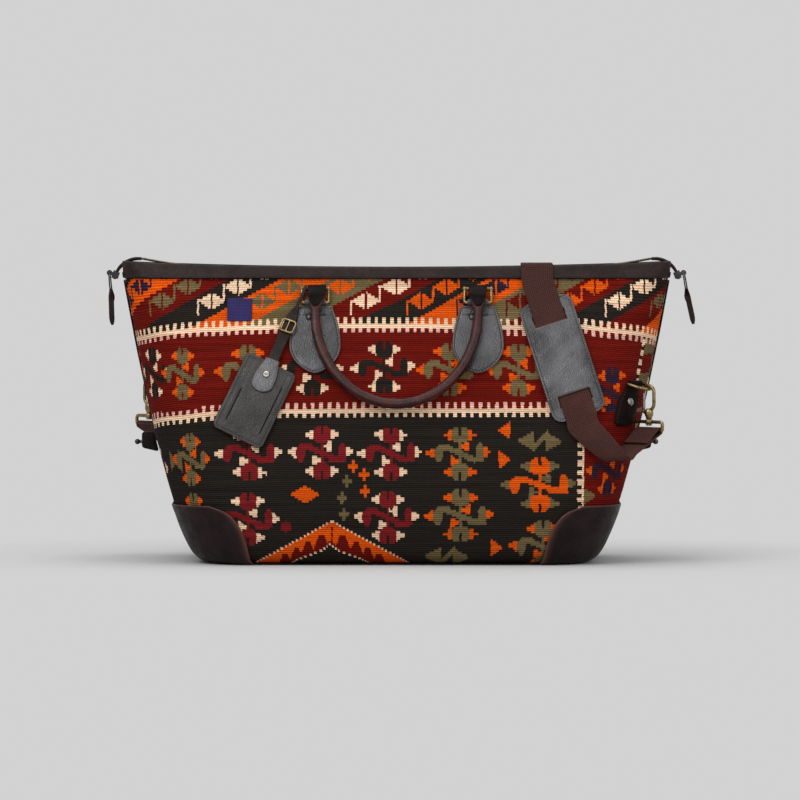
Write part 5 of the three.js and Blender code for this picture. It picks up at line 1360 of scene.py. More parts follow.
def build_tag():
    half_w, half_l = TAG_WIDTH / 2, TAG_LENGTH / 2
    cuts = [slit + d for slit, _, _ in TAG_SLITS for d in (-0.8, -0.35, 0, 0.35, 0.8)]
    us = np.unique([*soft_steps(-half_w, half_w, 24), *cuts])
    ends = np.linspace(half_l - 6, half_l - 0.9, 6)
    vs = np.unique([*soft_steps(-half_l, half_l, 40), *ends, *-ends])
    def slits(u, v):
        return sum((abs(u - slit) < 0.4) * (v > low) * (v < high) for slit, low, high in TAG_SLITS)
    # Besides the stitch groove, this darkens the slits nearly to black: painted shade in the cuts.
    def seam(u, v):
        rim = np.minimum(half_w - abs(u), half_l - abs(v))
        return seam_line(rim, TAG_SEAM, 0.7) * 0.6 + slits(u, v)
    def relief(u, v):
        raised = 0.5 * smoothstep(u, -17, -16) * (1 - smoothstep(u, 18.6, 19.6)) * smoothstep(v, -34, -26)
        return raised - 1.2 * slits(u, v) - 0.25 * seam(u, v) + 0.22 * wobble(u / 9, v / 12, 81)
    part = shell(tag_place, us, vs, TAG_INNER, TAG_INNER + TAG_THICK, relief, seam=seam)
    add_piece("tag_leather", part, "tag", "luggage_tag", "tag_body", "tag_leather")
    shares = np.linspace(0.14, 1, 70)
    rows = [tag_strap_frame(share) for share in shares]
    widths = np.interp(shares, (0.14, 0.16, 0.3, 0.69, 0.8, 1), (5.0, 6.4, 5.75, 5.75, 1.7, 1.7))
    strip = band(*(np.array([row[k] for row in rows]) for k in (0, 2, 3)), widths, TONGUE_HALF)
    thong = strap_along(arc(ring_top(THONG_X), RING_OUT, RING_UP, 2.9, -80, 200, 26), X_AXIS, 1.7, 0.8)
    tongue = tongue_shape()
    part = joined(tongue, strip, thong)
    strap = add_piece("tag_strap_leather", part, "rim", "luggage_tag", "tag_strap", "tag_leather").data
    strap.materials.append(finish_of("charcoal"))
    strap.polygons.foreach_set("material_index", [int(k < len(tongue[1])) for k in range(len(part[1]))])
    centre, along, across, out = tag_strap_frame(0.58)
    middle = centre + out * (TONGUE_HALF + 2 * GAP + BUCKLE_WIRE)
    corners = [middle + across * s * 7 + along * e * 6.5 for s, e in ((-1, -1), (1, -1), (1, 1), (-1, 1))]
    wire = tube(rounded_loop(corners, 3.2), BUCKLE_WIRE, 12, loop=True)
    prong = tube([middle + along * e for e in np.linspace(-6.5, 6.5, 8)], 0.85, 10)
    add_piece("buckle_wire", joined(wire, prong), "brass", "luggage_tag", "tag_buckle", "brass")
    centre, _, _, out = tag_strap_frame(0.08)
    cap = lathe(SNAP, centre + out * (TONGUE_HALF + GAP), out)
    add_piece("snap_cap", cap, "steel", "luggage_tag", "tag_snap", "brass")


def tongue_shape():
    """Wide rounded end of the tag strap, lying on the tag."""
    centre, along, across, out = tag_strap_frame(0.02)
    angle = np.linspace(0, pi, 16)
    outline = [(11.2 * cos(a), -3 - 9.5 * sin(a)) for a in angle[::-1]]
    outline += [(11.0, 6), (9.6, 14), (7.4, 21), (6.6, 24), (-6.6, 24), (-7.4, 21), (-9.6, 14), (-11.0, 6)]
    outline = resample(np.array(outline)[::-1], 90, loop=True)
    def place(u, v, height):
        dish = 0.9 * smoothstep(v, 8, 24)
        return centre + np.outer(u, across) + np.outer(v, along) + np.outer(height - TONGUE_HALF + dish, out)
    points, faces, edge = plate(outline, place, 1.5, 0.2, seam=1.6)
    return points, faces, edge * 0.7


# Shoulder strap

WEB_WIDTH, WEB_THICK, WEB_CLIMB = 32, 1.8, radians(28)
STRAP_X, STRAP_TILT, STRAP_TURN = 142, radians(17.6), 30
PAD_WIDTH, PAD_START, PAD_LENGTH, PAD_LEATHER, PAD_SLOT, SLOT_INSET = 55, 35, 122, 2.2, 11, 14
PAD_END = PAD_START + PAD_LENGTH
PAD_ROUND = ((0, 0.6), (0.6, 0.7), (2, 0.84), (5, 0.95), (9, 1))
SLOTS = (PAD_START + SLOT_INSET, PAD_END - SLOT_INSET - PAD_SLOT)
STRAP_LIFT, STRAP_BEHIND, BACK_LIFT = 3.7, 1.5, 2.4
PAD_FLAP, PAD_MIDDLE, PAD_SEAM = 1.4, 3.8, 2.6
BACK_ROUTE = ((142, 292), (142, 250), (140, 205), (130, 160), (98, 120), (50, 95), (-10, 84), (-70, 82),
              (-125, 86), (-172, 96))
CORNER_OUT, CORNER_ALONG = unit(vec(1, -1, 0)), unit(vec(1, 1, 0))
D_CENTRE, D_LOWEST = vec(239.669, -70.734, 181), vec(253.329, -84.395, 175.824)
HOOK_HALF, HOOK_WIRE, D_WIRE = 6.75, 1.75, 1.5
HOOK_TOP = D_LOWEST[2] + D_WIRE + GAP + HOOK_WIRE
HOOK_FOOT = HOOK_TOP - 28 + 2 * HOOK_WIRE
HOOK_SHOULDER = HOOK_TOP - HOOK_HALF
HOOK_BASE = HOOK_FOOT - 9
GATE_TIP = HOOK_SHOULDER - 2 * GAP
GATE_PIVOT = GATE_TIP - 16
BARREL = ((0.1, 0), (2.6, 0), (3.0, 0.3), (3.4, 2.2), (4.3, 4.0), (4.4, 6.5), (4.1, 9.2), (2.6, 10.6),
          (0.1, 10.8))
BOSS_HALF, BOSS_PLAY = 2.25, 0.4
BOSS_CENTRE = HOOK_BASE - BOSS_PLAY - BOSS_HALF
STRAP_BAR = BOSS_CENTRE - 9


def pad_depth(run):
    enter, leave = (run - SLOTS[0]) / PAD_SLOT, (SLOTS[1] + PAD_SLOT - run) / PAD_SLOT
    return np.clip(np.minimum(enter, leave), 0, 1)


def strap_place(run, across, offset):
    lean = STRAP_TILT * smoothstep(run, 0, STRAP_TURN)
    shift = np.maximum(run - STRAP_TURN / 2, 0) * sin(STRAP_TILT)
    return on_front(STRAP_X + shift + across * np.cos(lean),
                    rim_top(STRAP_X) - run * np.cos(lean) + across * np.sin(lean), offset)


def pad_place(run, across, offset):
    near = np.minimum(run - PAD_START, PAD_END - run)
    share = at_line(near, PAD_ROUND)
    middle = PAD_FLAP + (PAD_MIDDLE - PAD_FLAP) * pad_depth(run)
    return strap_place(run, across * share, middle + offset)


def build_pad():
    half, slot_half = PAD_WIDTH / 2, WEB_WIDTH / 2 + 0.4
    ends = vec(1, 1.6, 2.4, 4, 5.5)
    runs = np.unique([*soft_steps(PAD_START, PAD_END, 110), *(PAD_START + ends), *(PAD_END - ends),
                      *SLOTS, *(slot + PAD_SLOT for slot in SLOTS)])
    acrosses = np.unique([*soft_steps(-half, half, 44), -slot_half, slot_half])
    def rim(run, across):
        return np.minimum(half - abs(across), np.minimum(run - PAD_START, PAD_END - run))
    def keep(run, across):
        inside = sum((run > slot) & (run < slot + PAD_SLOT) for slot in SLOTS) > 0
        return ~(inside & (abs(across) < slot_half))
    def seam(run, across):
        return seam_line(rim(run, across), PAD_SEAM, 0.7)
    def relief(run, across):
        wrinkle = 0.4 * wobble(across / 15, run / 6 + across / 21, 91) + 0.2 * wobble(across / 4, run / 3, 92)
        return -0.3 * seam(run, across) + wrinkle * smoothstep(rim(run, across), 3, 8)
    part = shell(pad_place, runs, acrosses, -PAD_LEATHER / 2, PAD_LEATHER / 2, relief, keep, seam)
    add_piece("shoulder_pad", part, "charcoal", "bag", "strap_pad", "charcoal_leather")


def web_row(place):
    """Four corners of the webbing at one place, which takes lengths across and out."""
    return np.array([place(across * WEB_WIDTH / 2, out * WEB_THICK / 2)
                     for across, out in ((-1, -1), (-1, 1), (1, 1), (1, -1))])


def flat_row(centre, across, out):
    return web_row(lambda s, o: centre + across * s + out * o)


def on_hook(out, z):
    return vec(D_LOWEST[0], D_LOWEST[1], z) + CORNER_OUT * out


def hook_rows(across, out):
    """Webbing that turns below the hook, runs up to its bar, and is sewn back on itself."""
    ramp = CORNER_ALONG * cos(WEB_CLIMB) + UP * sin(WEB_CLIMB)
    ramp_up = -np.cross(CORNER_OUT, ramp)
    wrap = HOOK_WIRE + GAP + WEB_THICK / 2
    def on_ramp(run, rise):
        return on_hook(0, STRAP_BAR) + ramp * run + ramp_up * rise
    rows = [flat_row(on_ramp(-54, wrap) + vec(0, -7, 0), across, out)]
    rows += [flat_row(on_ramp(run, wrap), CORNER_OUT, ramp_up) for run in (-40, -20, -12)]
    rows += [flat_row(on_ramp(0, 0) + way * wrap, CORNER_OUT, way)
             for way in arc(0, ramp_up, ramp, 1, 0, 180, 9)]
    tuck = wrap - WEB_THICK - 2 * GAP
    rows += [flat_row(on_ramp(-run, rise), CORNER_OUT, -ramp_up)
             for run, rise in ((9.6, -wrap * 0.5), (16.8, tuck), (24, tuck))]
    return rows


def on_back(x, z, offset):
    radius = corner_radius(z)
    past = max(abs(x) - half_length(z) + radius, 0)
    drop = radius + offset - sqrt(max((radius + offset) ** 2 - past ** 2, 0))
    return vec(x, half_depth(z) + offset - drop, z)


def strap_rows():
    """Rows of four corners along the whole strap, from the front hook over the mouth to the back hook."""
    runs = [4, 14, 24.5, 35, SLOTS[0], *np.linspace(SLOTS[0] + PAD_SLOT, SLOTS[1], 5), SLOTS[1] + PAD_SLOT,
            PAD_END, PAD_END + 12]
    front = []
    for run in runs:
        lift = STRAP_LIFT + (STRAP_BEHIND - STRAP_LIFT) * float(pad_depth(run))
        front.append(web_row(lambda s, o: strap_place(run, s, lift + o)))
    front += hook_rows(unit(CORNER_OUT + vec(0.2, 0, 0.1)), vec(0, 0, -1))
    z = rim_top(STRAP_X + WEB_WIDTH / 2) + GAP
    edge = float(half_depth(z)) + GAP + GAP + TRIM
    def level(y):
        return web_row(lambda s, o: vec(STRAP_X + s, y, z + WEB_THICK / 2 + o))
    def bend(sign):
        def corner(s, o):
            lift = (WEB_THICK / 2 + o) * sqrt(0.5)
            return vec(STRAP_X + s, sign * (edge + lift), z + lift)
        return web_row(corner)
    mouth = [bend(-1), level(-edge * 0.6), level(0), level(edge * 0.6), bend(1)]
    route = resample(np.array(BACK_ROUTE, dtype=float), 27)
    behind = []
    for (x, height), (tx, tz) in zip(route, headings(route)):
        lift = STRAP_LIFT if height > RIM_BOTTOM - WEB_WIDTH else BACK_LIFT
        behind.append(web_row(lambda s, o: on_back(x - s * tz, height + s * tx, lift + o)))
    far = hook_rows(unit(CORNER_OUT + vec(0, 0, 0.5)), unit(vec(0.3, 0, -1)))
    return np.array(front[::-1] + mouth + behind + [row * HALF_TURN for row in far])


def build_webbing():
    rows = strap_rows()
    count, smooth = len(rows), []
    for i in range(count - 1):
        a, b, c, d = rows[max(i - 1, 0)], rows[i], rows[i + 1], rows[min(i + 2, count - 1)]
        for t in np.linspace(0, 1, 6, endpoint=False):
            smooth.append(0.55 * (b + (c - b) * t) + 0.45 * bow_between(a, b, c, d, t))
    rows = np.array(smooth + [rows[-1]])
    centres = rows.mean(axis=1)
    across = unit(rows[:, 2] + rows[:, 3] - rows[:, 0] - rows[:, 1])
    out = unit(rows[:, 1] + rows[:, 2] - rows[:, 0] - rows[:, 3])
    run = np.concatenate([[0], np.cumsum(np.linalg.norm(np.diff(centres, axis=0), axis=1))])
    points, faces = band(centres, across, out, WEB_WIDTH / 2, WEB_THICK / 2)
    section = band_section(WEB_WIDTH / 2, WEB_THICK / 2)
    table = np.stack([np.tile(section[:, 0], len(rows)), np.repeat(run, len(section))], axis=1)
    table = np.vstack([table, [[0, run[0]], [0, run[-1]]]])
    mesh = new_mesh("webbing", points, faces)
    weave_map(mesh, table)
    outwards(mesh)
    piece = place_piece("webbing", mesh, "webbing", "bag", "strap_webbing", "webbing")


# Corner tabs, D-rings and trigger hooks

def on_corner(along, z, offset):
    base = outline_point(np.full(np.shape(z), 1.5), z, offset)
    return base + np.asarray(along)[..., None] * CORNER_ALONG


TAB_HALF, TAB_LOW, TAB_HIGH, TAB_SEAM, TAB_RIVET, RING_HALF = 14, 139, 181, 2.4, 163, 8.5
TAB_ROUND = ((0, 0.5), (0.4, 0.62), (1.2, 0.74), (2.5, 0.85), (5, 0.95), (8, 1), (25, 1),
             (38, RING_HALF / TAB_HALF))
D_HALF, D_REACH, D_LEAN = 11, 20, radians(75)


def tab_place(along, z, offset):
    """Place on a corner tab, which follows the cloth and narrows to its ring."""
    share = at_line(z - TAB_LOW, TAB_ROUND)
    return outline_point(1.5 + along * share / (corner_radius(z) * pi / 2), z, offset)


def ring_tab():
    def relief(along, z):
        groove = -0.25 * seam_line(TAB_HALF - abs(along), TAB_SEAM, 0.7)
        return groove + 0.15 * wobble(along / 4, z / 6, 101)
    tab = shell(tab_place, soft_steps(-TAB_HALF, TAB_HALF, 20), soft_steps(TAB_LOW, TAB_HIGH, 30), GAP,
                GAP + TRIM, relief)
    tail = [on_corner(0.0, z, GAP + 1.2) for z in (176, 178.5)]
    path = tail + arc(D_CENTRE, CORNER_OUT, UP, 2.65, -70, 190, 24)
    return joined(tab, strap_along(path, CORNER_ALONG, RING_HALF, 0.8))


def hook_body():
    bow = arc(on_hook(0, HOOK_FOOT + HOOK_HALF), CORNER_OUT, UP, HOOK_HALF, -90, 0, 9)
    bow += arc(on_hook(0, HOOK_SHOULDER), CORNER_OUT, UP, HOOK_HALF, 0, 180, 24)
    eye = tube(bow, [HOOK_WIRE] * (len(bow) - 3) + [1.7, 1.5, 0.9])
    barrel = lathe(BARREL, on_hook(0, HOOK_BASE), UP)
    arm = tube(np.linspace(on_hook(0, HOOK_FOOT), on_hook(-HOOK_HALF, GATE_PIVOT - 3.4), 6), HOOK_WIRE)
    below = BOSS_CENTRE - BOSS_HALF - BOSS_PLAY
    pin = tube(np.linspace(on_hook(0, HOOK_BASE + 1), on_hook(0, below - 0.6), 6), 2.0)
    head = lathe([(0.1, 0), (2.4, 0), (3.2, 0.4), (3.2, 1.2), (0.1, 1.2)], on_hook(0, below - 1.2), UP)
    return joined(eye, barrel, arm, pin, head)


def swivel_loop():
    half = WEB_WIDTH / 2 + 2 * GAP + HOOK_WIRE
    corners = [on_hook(-half, STRAP_BAR), on_hook(half, STRAP_BAR), on_hook(half, BOSS_CENTRE),
               on_hook(-half, BOSS_CENTRE)]
    wire = tube(rounded_loop(corners, 3.0), HOOK_WIRE, loop=True)
    angle = full_turn(28)
    ring = [(2.4, -BOSS_HALF), (3.6, -BOSS_HALF), (4.2, -1.6), (4.2, 1.6), (3.6, BOSS_HALF), (2.4, BOSS_HALF)]
    boss = loft([on_hook(0, BOSS_CENTRE + z) + r * (np.cos(angle) * CORNER_OUT + np.sin(angle) * CORNER_ALONG)
                 for r, z in ring], loop=True)
    return joined(wire, boss)


def build_corner_rings():
    d_down = CORNER_OUT * sin(D_LEAN) - UP * cos(D_LEAN)
    bow = arc(D_CENTRE, CORNER_ALONG * D_HALF, d_down * D_REACH, 1, 0, 180, 40)
    bar = [D_CENTRE + CORNER_ALONG * s for s in np.linspace(-9, 9, 8)]
    d_ring = tube(np.array(bow + bar), D_WIRE, loop=True)
    pivot = on_hook(-HOOK_HALF, GATE_PIVOT)
    gate_rows = np.linspace(pivot - UP * 1.4, on_hook(-HOOK_HALF, GATE_TIP), 14)
    gate = tube(gate_rows, [0.6, 1.2] + [1.4] * 10 + [1.3, 0.9])
    slope = unit(on_corner(0.0, TAB_RIVET + 1.0, 0.0) - on_corner(0.0, TAB_RIVET - 1.0, 0.0))
    out = unit(np.cross(CORNER_ALONG, slope))
    cap = [(0.05, 0), (4, 0), (4, 0.4), (3.7, 0.9), (2.8, 1.5), (1.5, 1.9), (0.02, 2.0)]
    rivet = lathe(cap, on_corner(0.0, float(TAB_RIVET), GAP + TRIM) + out * GAP, out)
    for side, turn in FRONT_BACK:
        for name, part, look, body, node, slot in (
                ("corner_tab", ring_tab(), "tab", "bag", "ring_tab", "tab_leather"),
                ("rivet_cap", rivet, "steel", "bag", "tab_rivet", "brass"),
                ("d_wire", d_ring, "brass", f"d_ring_{side}", "d_ring", "brass"),
                ("trigger_hook", hook_body(), "brass", f"hook_{side}", "hook_body", "brass"),
                ("gate_bar", gate, "steel", f"gate_{side}", "hook_gate", "steel"),
                ("swivel_frame", swivel_loop(), "brass", "bag", "swivel_loop", "brass")):
            add_piece(f"{name}_{side}", part, look, body, f"{node}_{side}", slot, turn)


# Stitches and zip teeth, set along paths by Geometry Nodes

def point_tree(name, shape_node, shape_inputs):
    """Node tree that sets one small shape at even steps along curves."""
    tree = bpy.data.node_groups.new(name, "GeometryNodeTree")
    for label, kind in (("Path", "Geometry"), ("Pitch", "Float"), ("Along", "Float"), ("Across", "Float"),
                        ("Rise", "Float"), ("Finish", "Material")):
        tree.interface.new_socket(label, in_out="INPUT", socket_type=f"NodeSocket{kind}")
    tree.interface.new_socket("Shapes", in_out="OUTPUT", socket_type="NodeSocketGeometry")
    n = Nodes(tree)
    given = n.add("NodeGroupInput").outputs
    steps = n.add("GeometryNodeCurveToPoints", {"Curve": given["Path"], "Length": given["Pitch"]},
                  mode="LENGTH").outputs
    size = n.add("ShaderNodeCombineXYZ", {"X": given["Across"], "Y": given["Rise"], "Z": given["Along"]})
    shape = n.add(shape_node, shape_inputs).outputs["Mesh"]
    sized = n.add("GeometryNodeTransform", {"Geometry": shape, "Scale": size.outputs[0]})
    copies = n.add("GeometryNodeInstanceOnPoints", {"Points": steps["Points"], "Rotation": steps["Rotation"],
                                                    "Instance": sized.outputs[0]})
    real = n.add("GeometryNodeRealizeInstances", {"Geometry": copies.outputs[0]})
    painted = n.add("GeometryNodeSetMaterial", {"Geometry": real.outputs[0], "Material": given["Finish"]})
    n.add("NodeGroupOutput", {"Shapes": painted.outputs[0]})
    return tree


def along_paths(name, paths, tree, values, look, body, slot):
    """One mesh of small shapes along open or closed paths, given as points and whether they close."""
    curve = bpy.data.curves.new(f"{name}_path", "CURVE")
    curve.dimensions = "3D"
    for points, closed in paths:
        points = np.asarray(points) * MM
        spline = curve.splines.new("POLY")
        spline.points.add(len(points) - 1)
        spline.points.foreach_set("co", np.column_stack([points, np.ones(len(points))]).ravel())
        spline.use_cyclic_u = closed
    carrier = new_object(f"{name}_path", curve)
    modifier = carrier.modifiers.new("set", "NODES")
    modifier.node_group = tree
    sockets = {item.name: item.identifier for item in tree.interface.items_tree if item.in_out == "INPUT"}
    for label, value in values.items():
        modifier[sockets[label]] = value
    modifier[sockets["Finish"]] = finish_of(look)
    carrier.update_tag()
    bpy.context.view_layer.update()
    graph = bpy.context.evaluated_depsgraph_get()
    mesh = bpy.data.meshes.new_from_object(carrier.evaluated_get(graph), depsgraph=graph)
    carrier.modifiers.remove(modifier)
    bpy.data.objects.remove(carrier)
    bpy.data.curves.remove(curve)
    mesh.name = name
    if not mesh.polygons:
        raise RuntimeError(f"{name}: no shapes along the path")
    place_piece(name, mesh, look, body, None, slot)


def inset_loop(points, place, height):
    points = np.asarray(points)
    return place(points[:, 0], points[:, 1], np.full(len(points), height))


def bag_seams():
    """Stitch lines on everything that is sewn to the bag."""
    lines = []
    for x in (-HANDLE_X, HANDLE_X):
        loop = inset_loop(resample(patch_outline(x, PATCH_SEAM), 120, loop=True), on_patch, 2.7)
        bar = inset_loop(np.stack([x + np.linspace(-15, 15, 20), np.full(20, 250.0)], axis=1), on_patch, 2.9)
        for _, turn in FRONT_BACK:
            lines += [(loop * turn, True), (bar * turn, False)]
    bends = np.linspace(1, 1.45, 12)
    stations = np.concatenate([-bends[::-1], np.linspace(-1, 1, 90)[1:-1], bends])
    rim = outline_point(stations, RIM_BOTTOM + RIM_SEAM, GAP + TRIM - 0.15)
    lines += [(rim * turn, False) for _, turn in FRONT_BACK]
    z = np.linspace(STRIP_BOTTOM + 3, STRIP_TOP - 3, 60)
    inset = STRIP_WIDTH / 2 - STRIP_SEAM
    for sign in (-1, 1):
        x = sign * (half_length(z) + GAP + STRIP_THICK - 0.25)
        lines += [(np.stack([x, np.full(60, y), z], axis=1), False) for y in (-inset, inset)]
    half, low, high = PAD_WIDTH / 2 - PAD_SEAM, PAD_START + PAD_SEAM, PAD_END - PAD_SEAM
    loop = [(low, a) for a in np.linspace(-half + 6, half - 6, 12)]
    loop += [(r, half) for r in np.linspace(low + 6, high - 6, 40)]
    loop += [(high, a) for a in np.linspace(half - 6, -half + 6, 12)]
    loop += [(r, -half) for r in np.linspace(high - 6, low + 6, 40)]
    lines.append((inset_loop(resample(loop, 160, loop=True), pad_place, PAD_LEATHER / 2 + 0.1), True))
    z = np.linspace(TAB_LOW + 5, TAB_HIGH - 6, 24)
    for along in (TAB_SEAM - TAB_HALF, TAB_HALF - TAB_SEAM):
        tab = tab_place(np.full(24, along), z, GAP + TRIM - 0.15)
        lines += [(tab * turn, False) for _, turn in FRONT_BACK]
    w, h = LABEL_WIDTH / 2 - LABEL_SEAM, LABEL_HEIGHT / 2 - LABEL_SEAM
    z = np.linspace(-h, h, 12) + LABEL_Z
    lines += [(on_front(np.full(12, x), z, GAP + 0.95), False) for x in (LABEL_X - w, LABEL_X + w)]
    return lines


def tag_seams():
    half_w, half_l = TAG_WIDTH / 2 - TAG_SEAM, TAG_LENGTH / 2 - TAG_SEAM
    corners = np.array([(half_w, -half_l), (half_w, half_l), (-half_w, half_l), (-half_w, -half_l)])
    loop = resample(rounded_loop(corners, 4.0), 140, loop=True)
    return [(inset_loop(loop, tag_place, TAG_INNER + TAG_THICK - 0.05), True)]


def build_stitches():
    sizes = looks().sizes
    tree = point_tree("stitch_row", "GeometryNodeMeshUVSphere", {"Segments": 6, "Rings": 4, "Radius": 0.5})
    values = {"Pitch": sizes.stitch_pitch, "Along": sizes.stitch_length, "Across": sizes.thread,
              "Rise": sizes.thread}
    along_paths("bag_stitches", bag_seams(), tree, values, "thread", "bag", "charcoal_leather")
    along_paths("tag_stitches", tag_seams(), tree, values, "thread", "luggage_tag", "tag_leather")


def build_teeth():
    pitch = looks().sizes.tooth_pitch
    tree = point_tree("zip_teeth", "GeometryNodeMeshIcoSphere", {"Radius": 0.5, "Subdivisions": 1})
    rows = []
    for y, shift in ((-1.15, 0.0), (1.15, pitch / MM / 2)):
        x = np.linspace(-CHAIN_HALF + 2 + shift, CHAIN_HALF - 4 + shift, 240)
        rows.append((np.stack([x, np.full(240, y), zip_height(x) + 0.6], axis=1), False))
    values = {"Pitch": pitch, "Along": pitch * 0.62, "Across": 0.0034, "Rise": 0.0024}
    along_paths("zip_teeth_row", rows, tree, values, "brass", "bag", "zip_metal")


# Studio

STAGE_GREY, SOFT_LIGHT = srgb(210, 210, 210), 0.55
CAMERA_AIM = Vector((0.0035, -0.11, 0.166))
CAMERA_DISTANCE, CAMERA_RISE, FRAME_WIDTH, SENSOR = 8.0, 2.0, 0.8, 36
LIGHT_AIM = Vector((0, 0, 0.15))
LIGHTS = (("key_light", (-1.3, -2.2, 2.6), 2.2, 58), ("fill_light", (2.0, -2.4, 1.4), 2.4, 26),
          ("top_light", (0.1, 0.4, 3.0), 2.6, 30))


def aimed(name, data, place, way):
    """Camera or light that looks one way from its place."""
    item = new_object(name, data)
    item.location = place
    item.rotation_euler = way.to_track_quat("-Z", "Y").to_euler()
    return item


def build_stage():
    scene = bpy.context.scene
    scene.view_settings.view_transform = "Standard"
    rise = radians(CAMERA_RISE)
    away = Vector((0, -cos(rise), sin(rise)))
    lens = bpy.data.cameras.new("camera")
    lens.sensor_width = SENSOR
    lens.lens = SENSOR * CAMERA_DISTANCE / FRAME_WIDTH
    lens.clip_end = 100
    scene.camera = aimed("camera", lens, CAMERA_AIM + away * CAMERA_DISTANCE, -away)
    for name, place, size, power in LIGHTS:
        lamp = bpy.data.lights.new(name, "AREA")
        lamp.size, lamp.energy = size, power
        aimed(name, lamp, place, LIGHT_AIM - Vector(place))
    build_world(scene)
    build_floor()


def build_world(scene):
    """Soft light all round; the camera and mirrors see plain grey instead."""
    scene.world = bpy.data.worlds.new("studio")
    scene.world.use_nodes = True
    n = Nodes(scene.world.node_tree)
    n.tree.nodes.clear()
    through = n.add("ShaderNodeLightPath").outputs["Is Transmission Ray"]
    seen = n.maths("MAXIMUM", n.seen(), through)
    soft = n.add("ShaderNodeBackground", {"Color": (1, 1, 1, 1), "Strength": SOFT_LIGHT})
    grey = n.add("ShaderNodeBackground", {"Color": (*STAGE_GREY, 1)})
    mix = n.add("ShaderNodeMixShader", {"Fac": seen, 1: soft.outputs[0], 2: grey.outputs[0]})
    n.add("ShaderNodeOutputWorld", {"Surface": mix.outputs[0]})


def build_floor():
    """Pale floor that keeps the shadow near the bag and runs into plain grey further out."""
    mesh = bpy.data.meshes.new("floor")
    mesh.from_pydata([(-30, -30, 0), (30, -30, 0), (30, 30, 0), (-30, 30, 0)], [], [(0, 1, 2, 3)])
    n = new_finish("floor")
    place = n.place((1.0, 1.25, 1.0))
    reach = n.add("ShaderNodeVectorMath", {0: place}, operation="LENGTH").outputs["Value"]
    grain = n.noise(n.place(), 35.0, 3.0)
    pale = n.mix(grain, tint(STAGE_GREY, 0.83), tint(STAGE_GREY, 0.87))
    n.finish(pale, n.spread(grain, 0.3, 0.7, 0.9, 1.0), specular=0.0)
    glow = n.add("ShaderNodeEmission", {"Color": (*STAGE_GREY, 1.0)})
    far = n.maths("MULTIPLY", n.spread(reach, 0.30, 0.62), n.seen())
    mix = n.add("ShaderNodeMixShader", {"Fac": far, 1: n.shader.outputs[0], 2: glow.outputs[0]})
    n.feed(n.tree.nodes["Material Output"].inputs["Surface"], mix.outputs[0])
    mesh.materials.append(finish_of("floor"))
    new_object("floor", mesh)


# Add-on

class WEEKENDER_OT_inside(bpy.types.Operator):
    """Makes the lining, the base leather and its board"""
    bl_idname = "weekender.inside"
    bl_label = "Inside and base"

    def execute(self, context):
        build_inside()
        return {"FINISHED"}


class WEEKENDER_OT_kilim(bpy.types.Operator):
    """Weaves the front and back panels"""
    bl_idname = "weekender.kilim"
    bl_label = "Kilim panels"

    def execute(self, context):
        build_kilim()
        return {"FINISHED"}


class WEEKENDER_OT_corners(bpy.types.Operator):
    """Cuts the four leather corner patches"""
    bl_idname = "weekender.corners"
    bl_label = "Corner patches"

    def execute(self, context):
        build_corners()
        return {"FINISHED"}


class WEEKENDER_OT_rims(bpy.types.Operator):
    """Folds the leather bindings over the mouth"""
    bl_idname = "weekender.rims"
    bl_label = "Rim bindings"

    def execute(self, context):
        build_rims()
        return {"FINISHED"}


class WEEKENDER_OT_ends(bpy.types.Operator):
    """Makes the end strips with their stud loops"""
    bl_idname = "weekender.ends"
    bl_label = "End strips and studs"

    def execute(self, context):
        build_ends()
        return {"FINISHED"}


class WEEKENDER_OT_label(bpy.types.Operator):
    """Sews on the bare cloth label"""
    bl_idname = "weekender.label"
    bl_label = "Label"

    def execute(self, context):
        build_label()
        return {"FINISHED"}


class WEEKENDER_OT_zip(bpy.types.Operator):
    """Makes the zip tapes, tails, sliders and pulls"""
    bl_idname = "weekender.zip"
    bl_label = "Zip"

    def execute(self, context):
        build_zip()
        return {"FINISHED"}


class WEEKENDER_OT_teeth(bpy.types.Operator):
    """Sets the zip teeth along the mouth"""
    bl_idname = "weekender.teeth"
    bl_label = "Zip teeth"

    def execute(self, context):
        build_teeth()
        return {"FINISHED"}


class WEEKENDER_OT_handles(bpy.types.Operator):
    """Makes the handle patches, rings and rolled handles"""
    bl_idname = "weekender.handles"
    bl_label = "Handles"

    def execute(self, context):
        build_handles()
        return {"FINISHED"}


class WEEKENDER_OT_tag(bpy.types.Operator):
    """Makes the luggage tag with its strap, buckle and snap"""
    bl_idname = "weekender.tag"
    bl_label = "Luggage tag"

    def execute(self, context):
        build_tag()
        return {"FINISHED"}


class WEEKENDER_OT_pad(bpy.types.Operator):
    """Makes the slotted shoulder pad"""
    bl_idname = "weekender.pad"
    bl_label = "Shoulder pad"

    def execute(self, context):
        build_pad()
        return {"FINISHED"}


class WEEKENDER_OT_webbing(bpy.types.Operator):
    """Runs the webbing from hook to hook"""
    bl_idname = "weekender.webbing"
    bl_label = "Shoulder strap"

    def execute(self, context):
        build_webbing()
        return {"FINISHED"}


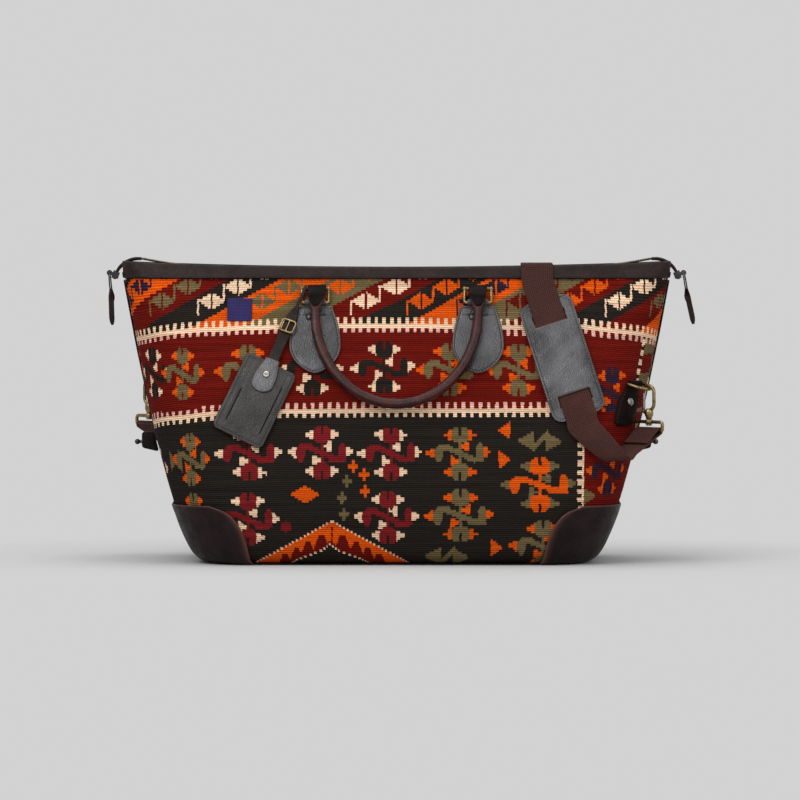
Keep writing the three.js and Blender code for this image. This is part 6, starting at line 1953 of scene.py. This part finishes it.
class WEEKENDER_OT_hooks(bpy.types.Operator):
    """Makes the corner tabs, rings and trigger hooks"""
    bl_idname = "weekender.hooks"
    bl_label = "Corner hardware"

    def execute(self, context):
        build_corner_rings()
        return {"FINISHED"}


class WEEKENDER_OT_stitches(bpy.types.Operator):
    """Sews the seams of the leather"""
    bl_idname = "weekender.stitches"
    bl_label = "Stitches"

    def execute(self, context):
        build_stitches()
        return {"FINISHED"}


class WEEKENDER_OT_stage(bpy.types.Operator):
    """Sets the floor, lights and camera"""
    bl_idname = "weekender.stage"
    bl_label = "Stage"

    def execute(self, context):
        build_stage()
        return {"FINISHED"}


OPERATORS = (WEEKENDER_OT_inside, WEEKENDER_OT_kilim, WEEKENDER_OT_corners, WEEKENDER_OT_rims,
             WEEKENDER_OT_ends, WEEKENDER_OT_label, WEEKENDER_OT_zip, WEEKENDER_OT_teeth,
             WEEKENDER_OT_handles, WEEKENDER_OT_tag, WEEKENDER_OT_pad, WEEKENDER_OT_webbing,
             WEEKENDER_OT_hooks, WEEKENDER_OT_stitches, WEEKENDER_OT_stage)


class WEEKENDER_PT_sidebar(bpy.types.Panel):
    """Lists the bag's pieces and its looks in the sidebar"""
    bl_idname = "WEEKENDER_PT_sidebar"
    bl_label = "Weekender bag"
    bl_space_type = "VIEW_3D"
    bl_region_type = "UI"
    bl_category = "Weekender"

    def draw(self, context):
        for operator in OPERATORS:
            self.layout.operator(operator.bl_idname)
        for group in (looks().yarns, looks().leathers, looks().sizes):
            for key in group.__annotations__:
                self.layout.prop(group, key)


CLASSES = (BagYarns, BagLeathers, BagSizes, BagLooks, *OPERATORS, WEEKENDER_PT_sidebar)


def register():
    for cls in CLASSES:
        bpy.utils.register_class(cls)
    bpy.types.Scene.weekender = PointerProperty(type=BagLooks)


def unregister():
    del bpy.types.Scene.weekender
    for cls in reversed(CLASSES):
        bpy.utils.unregister_class(cls)


def main():
    register()
    for operator in OPERATORS:
        group, name = operator.bl_idname.split(".")
        getattr(getattr(bpy.ops, group), name)()


if __name__ == "__main__":
    main()
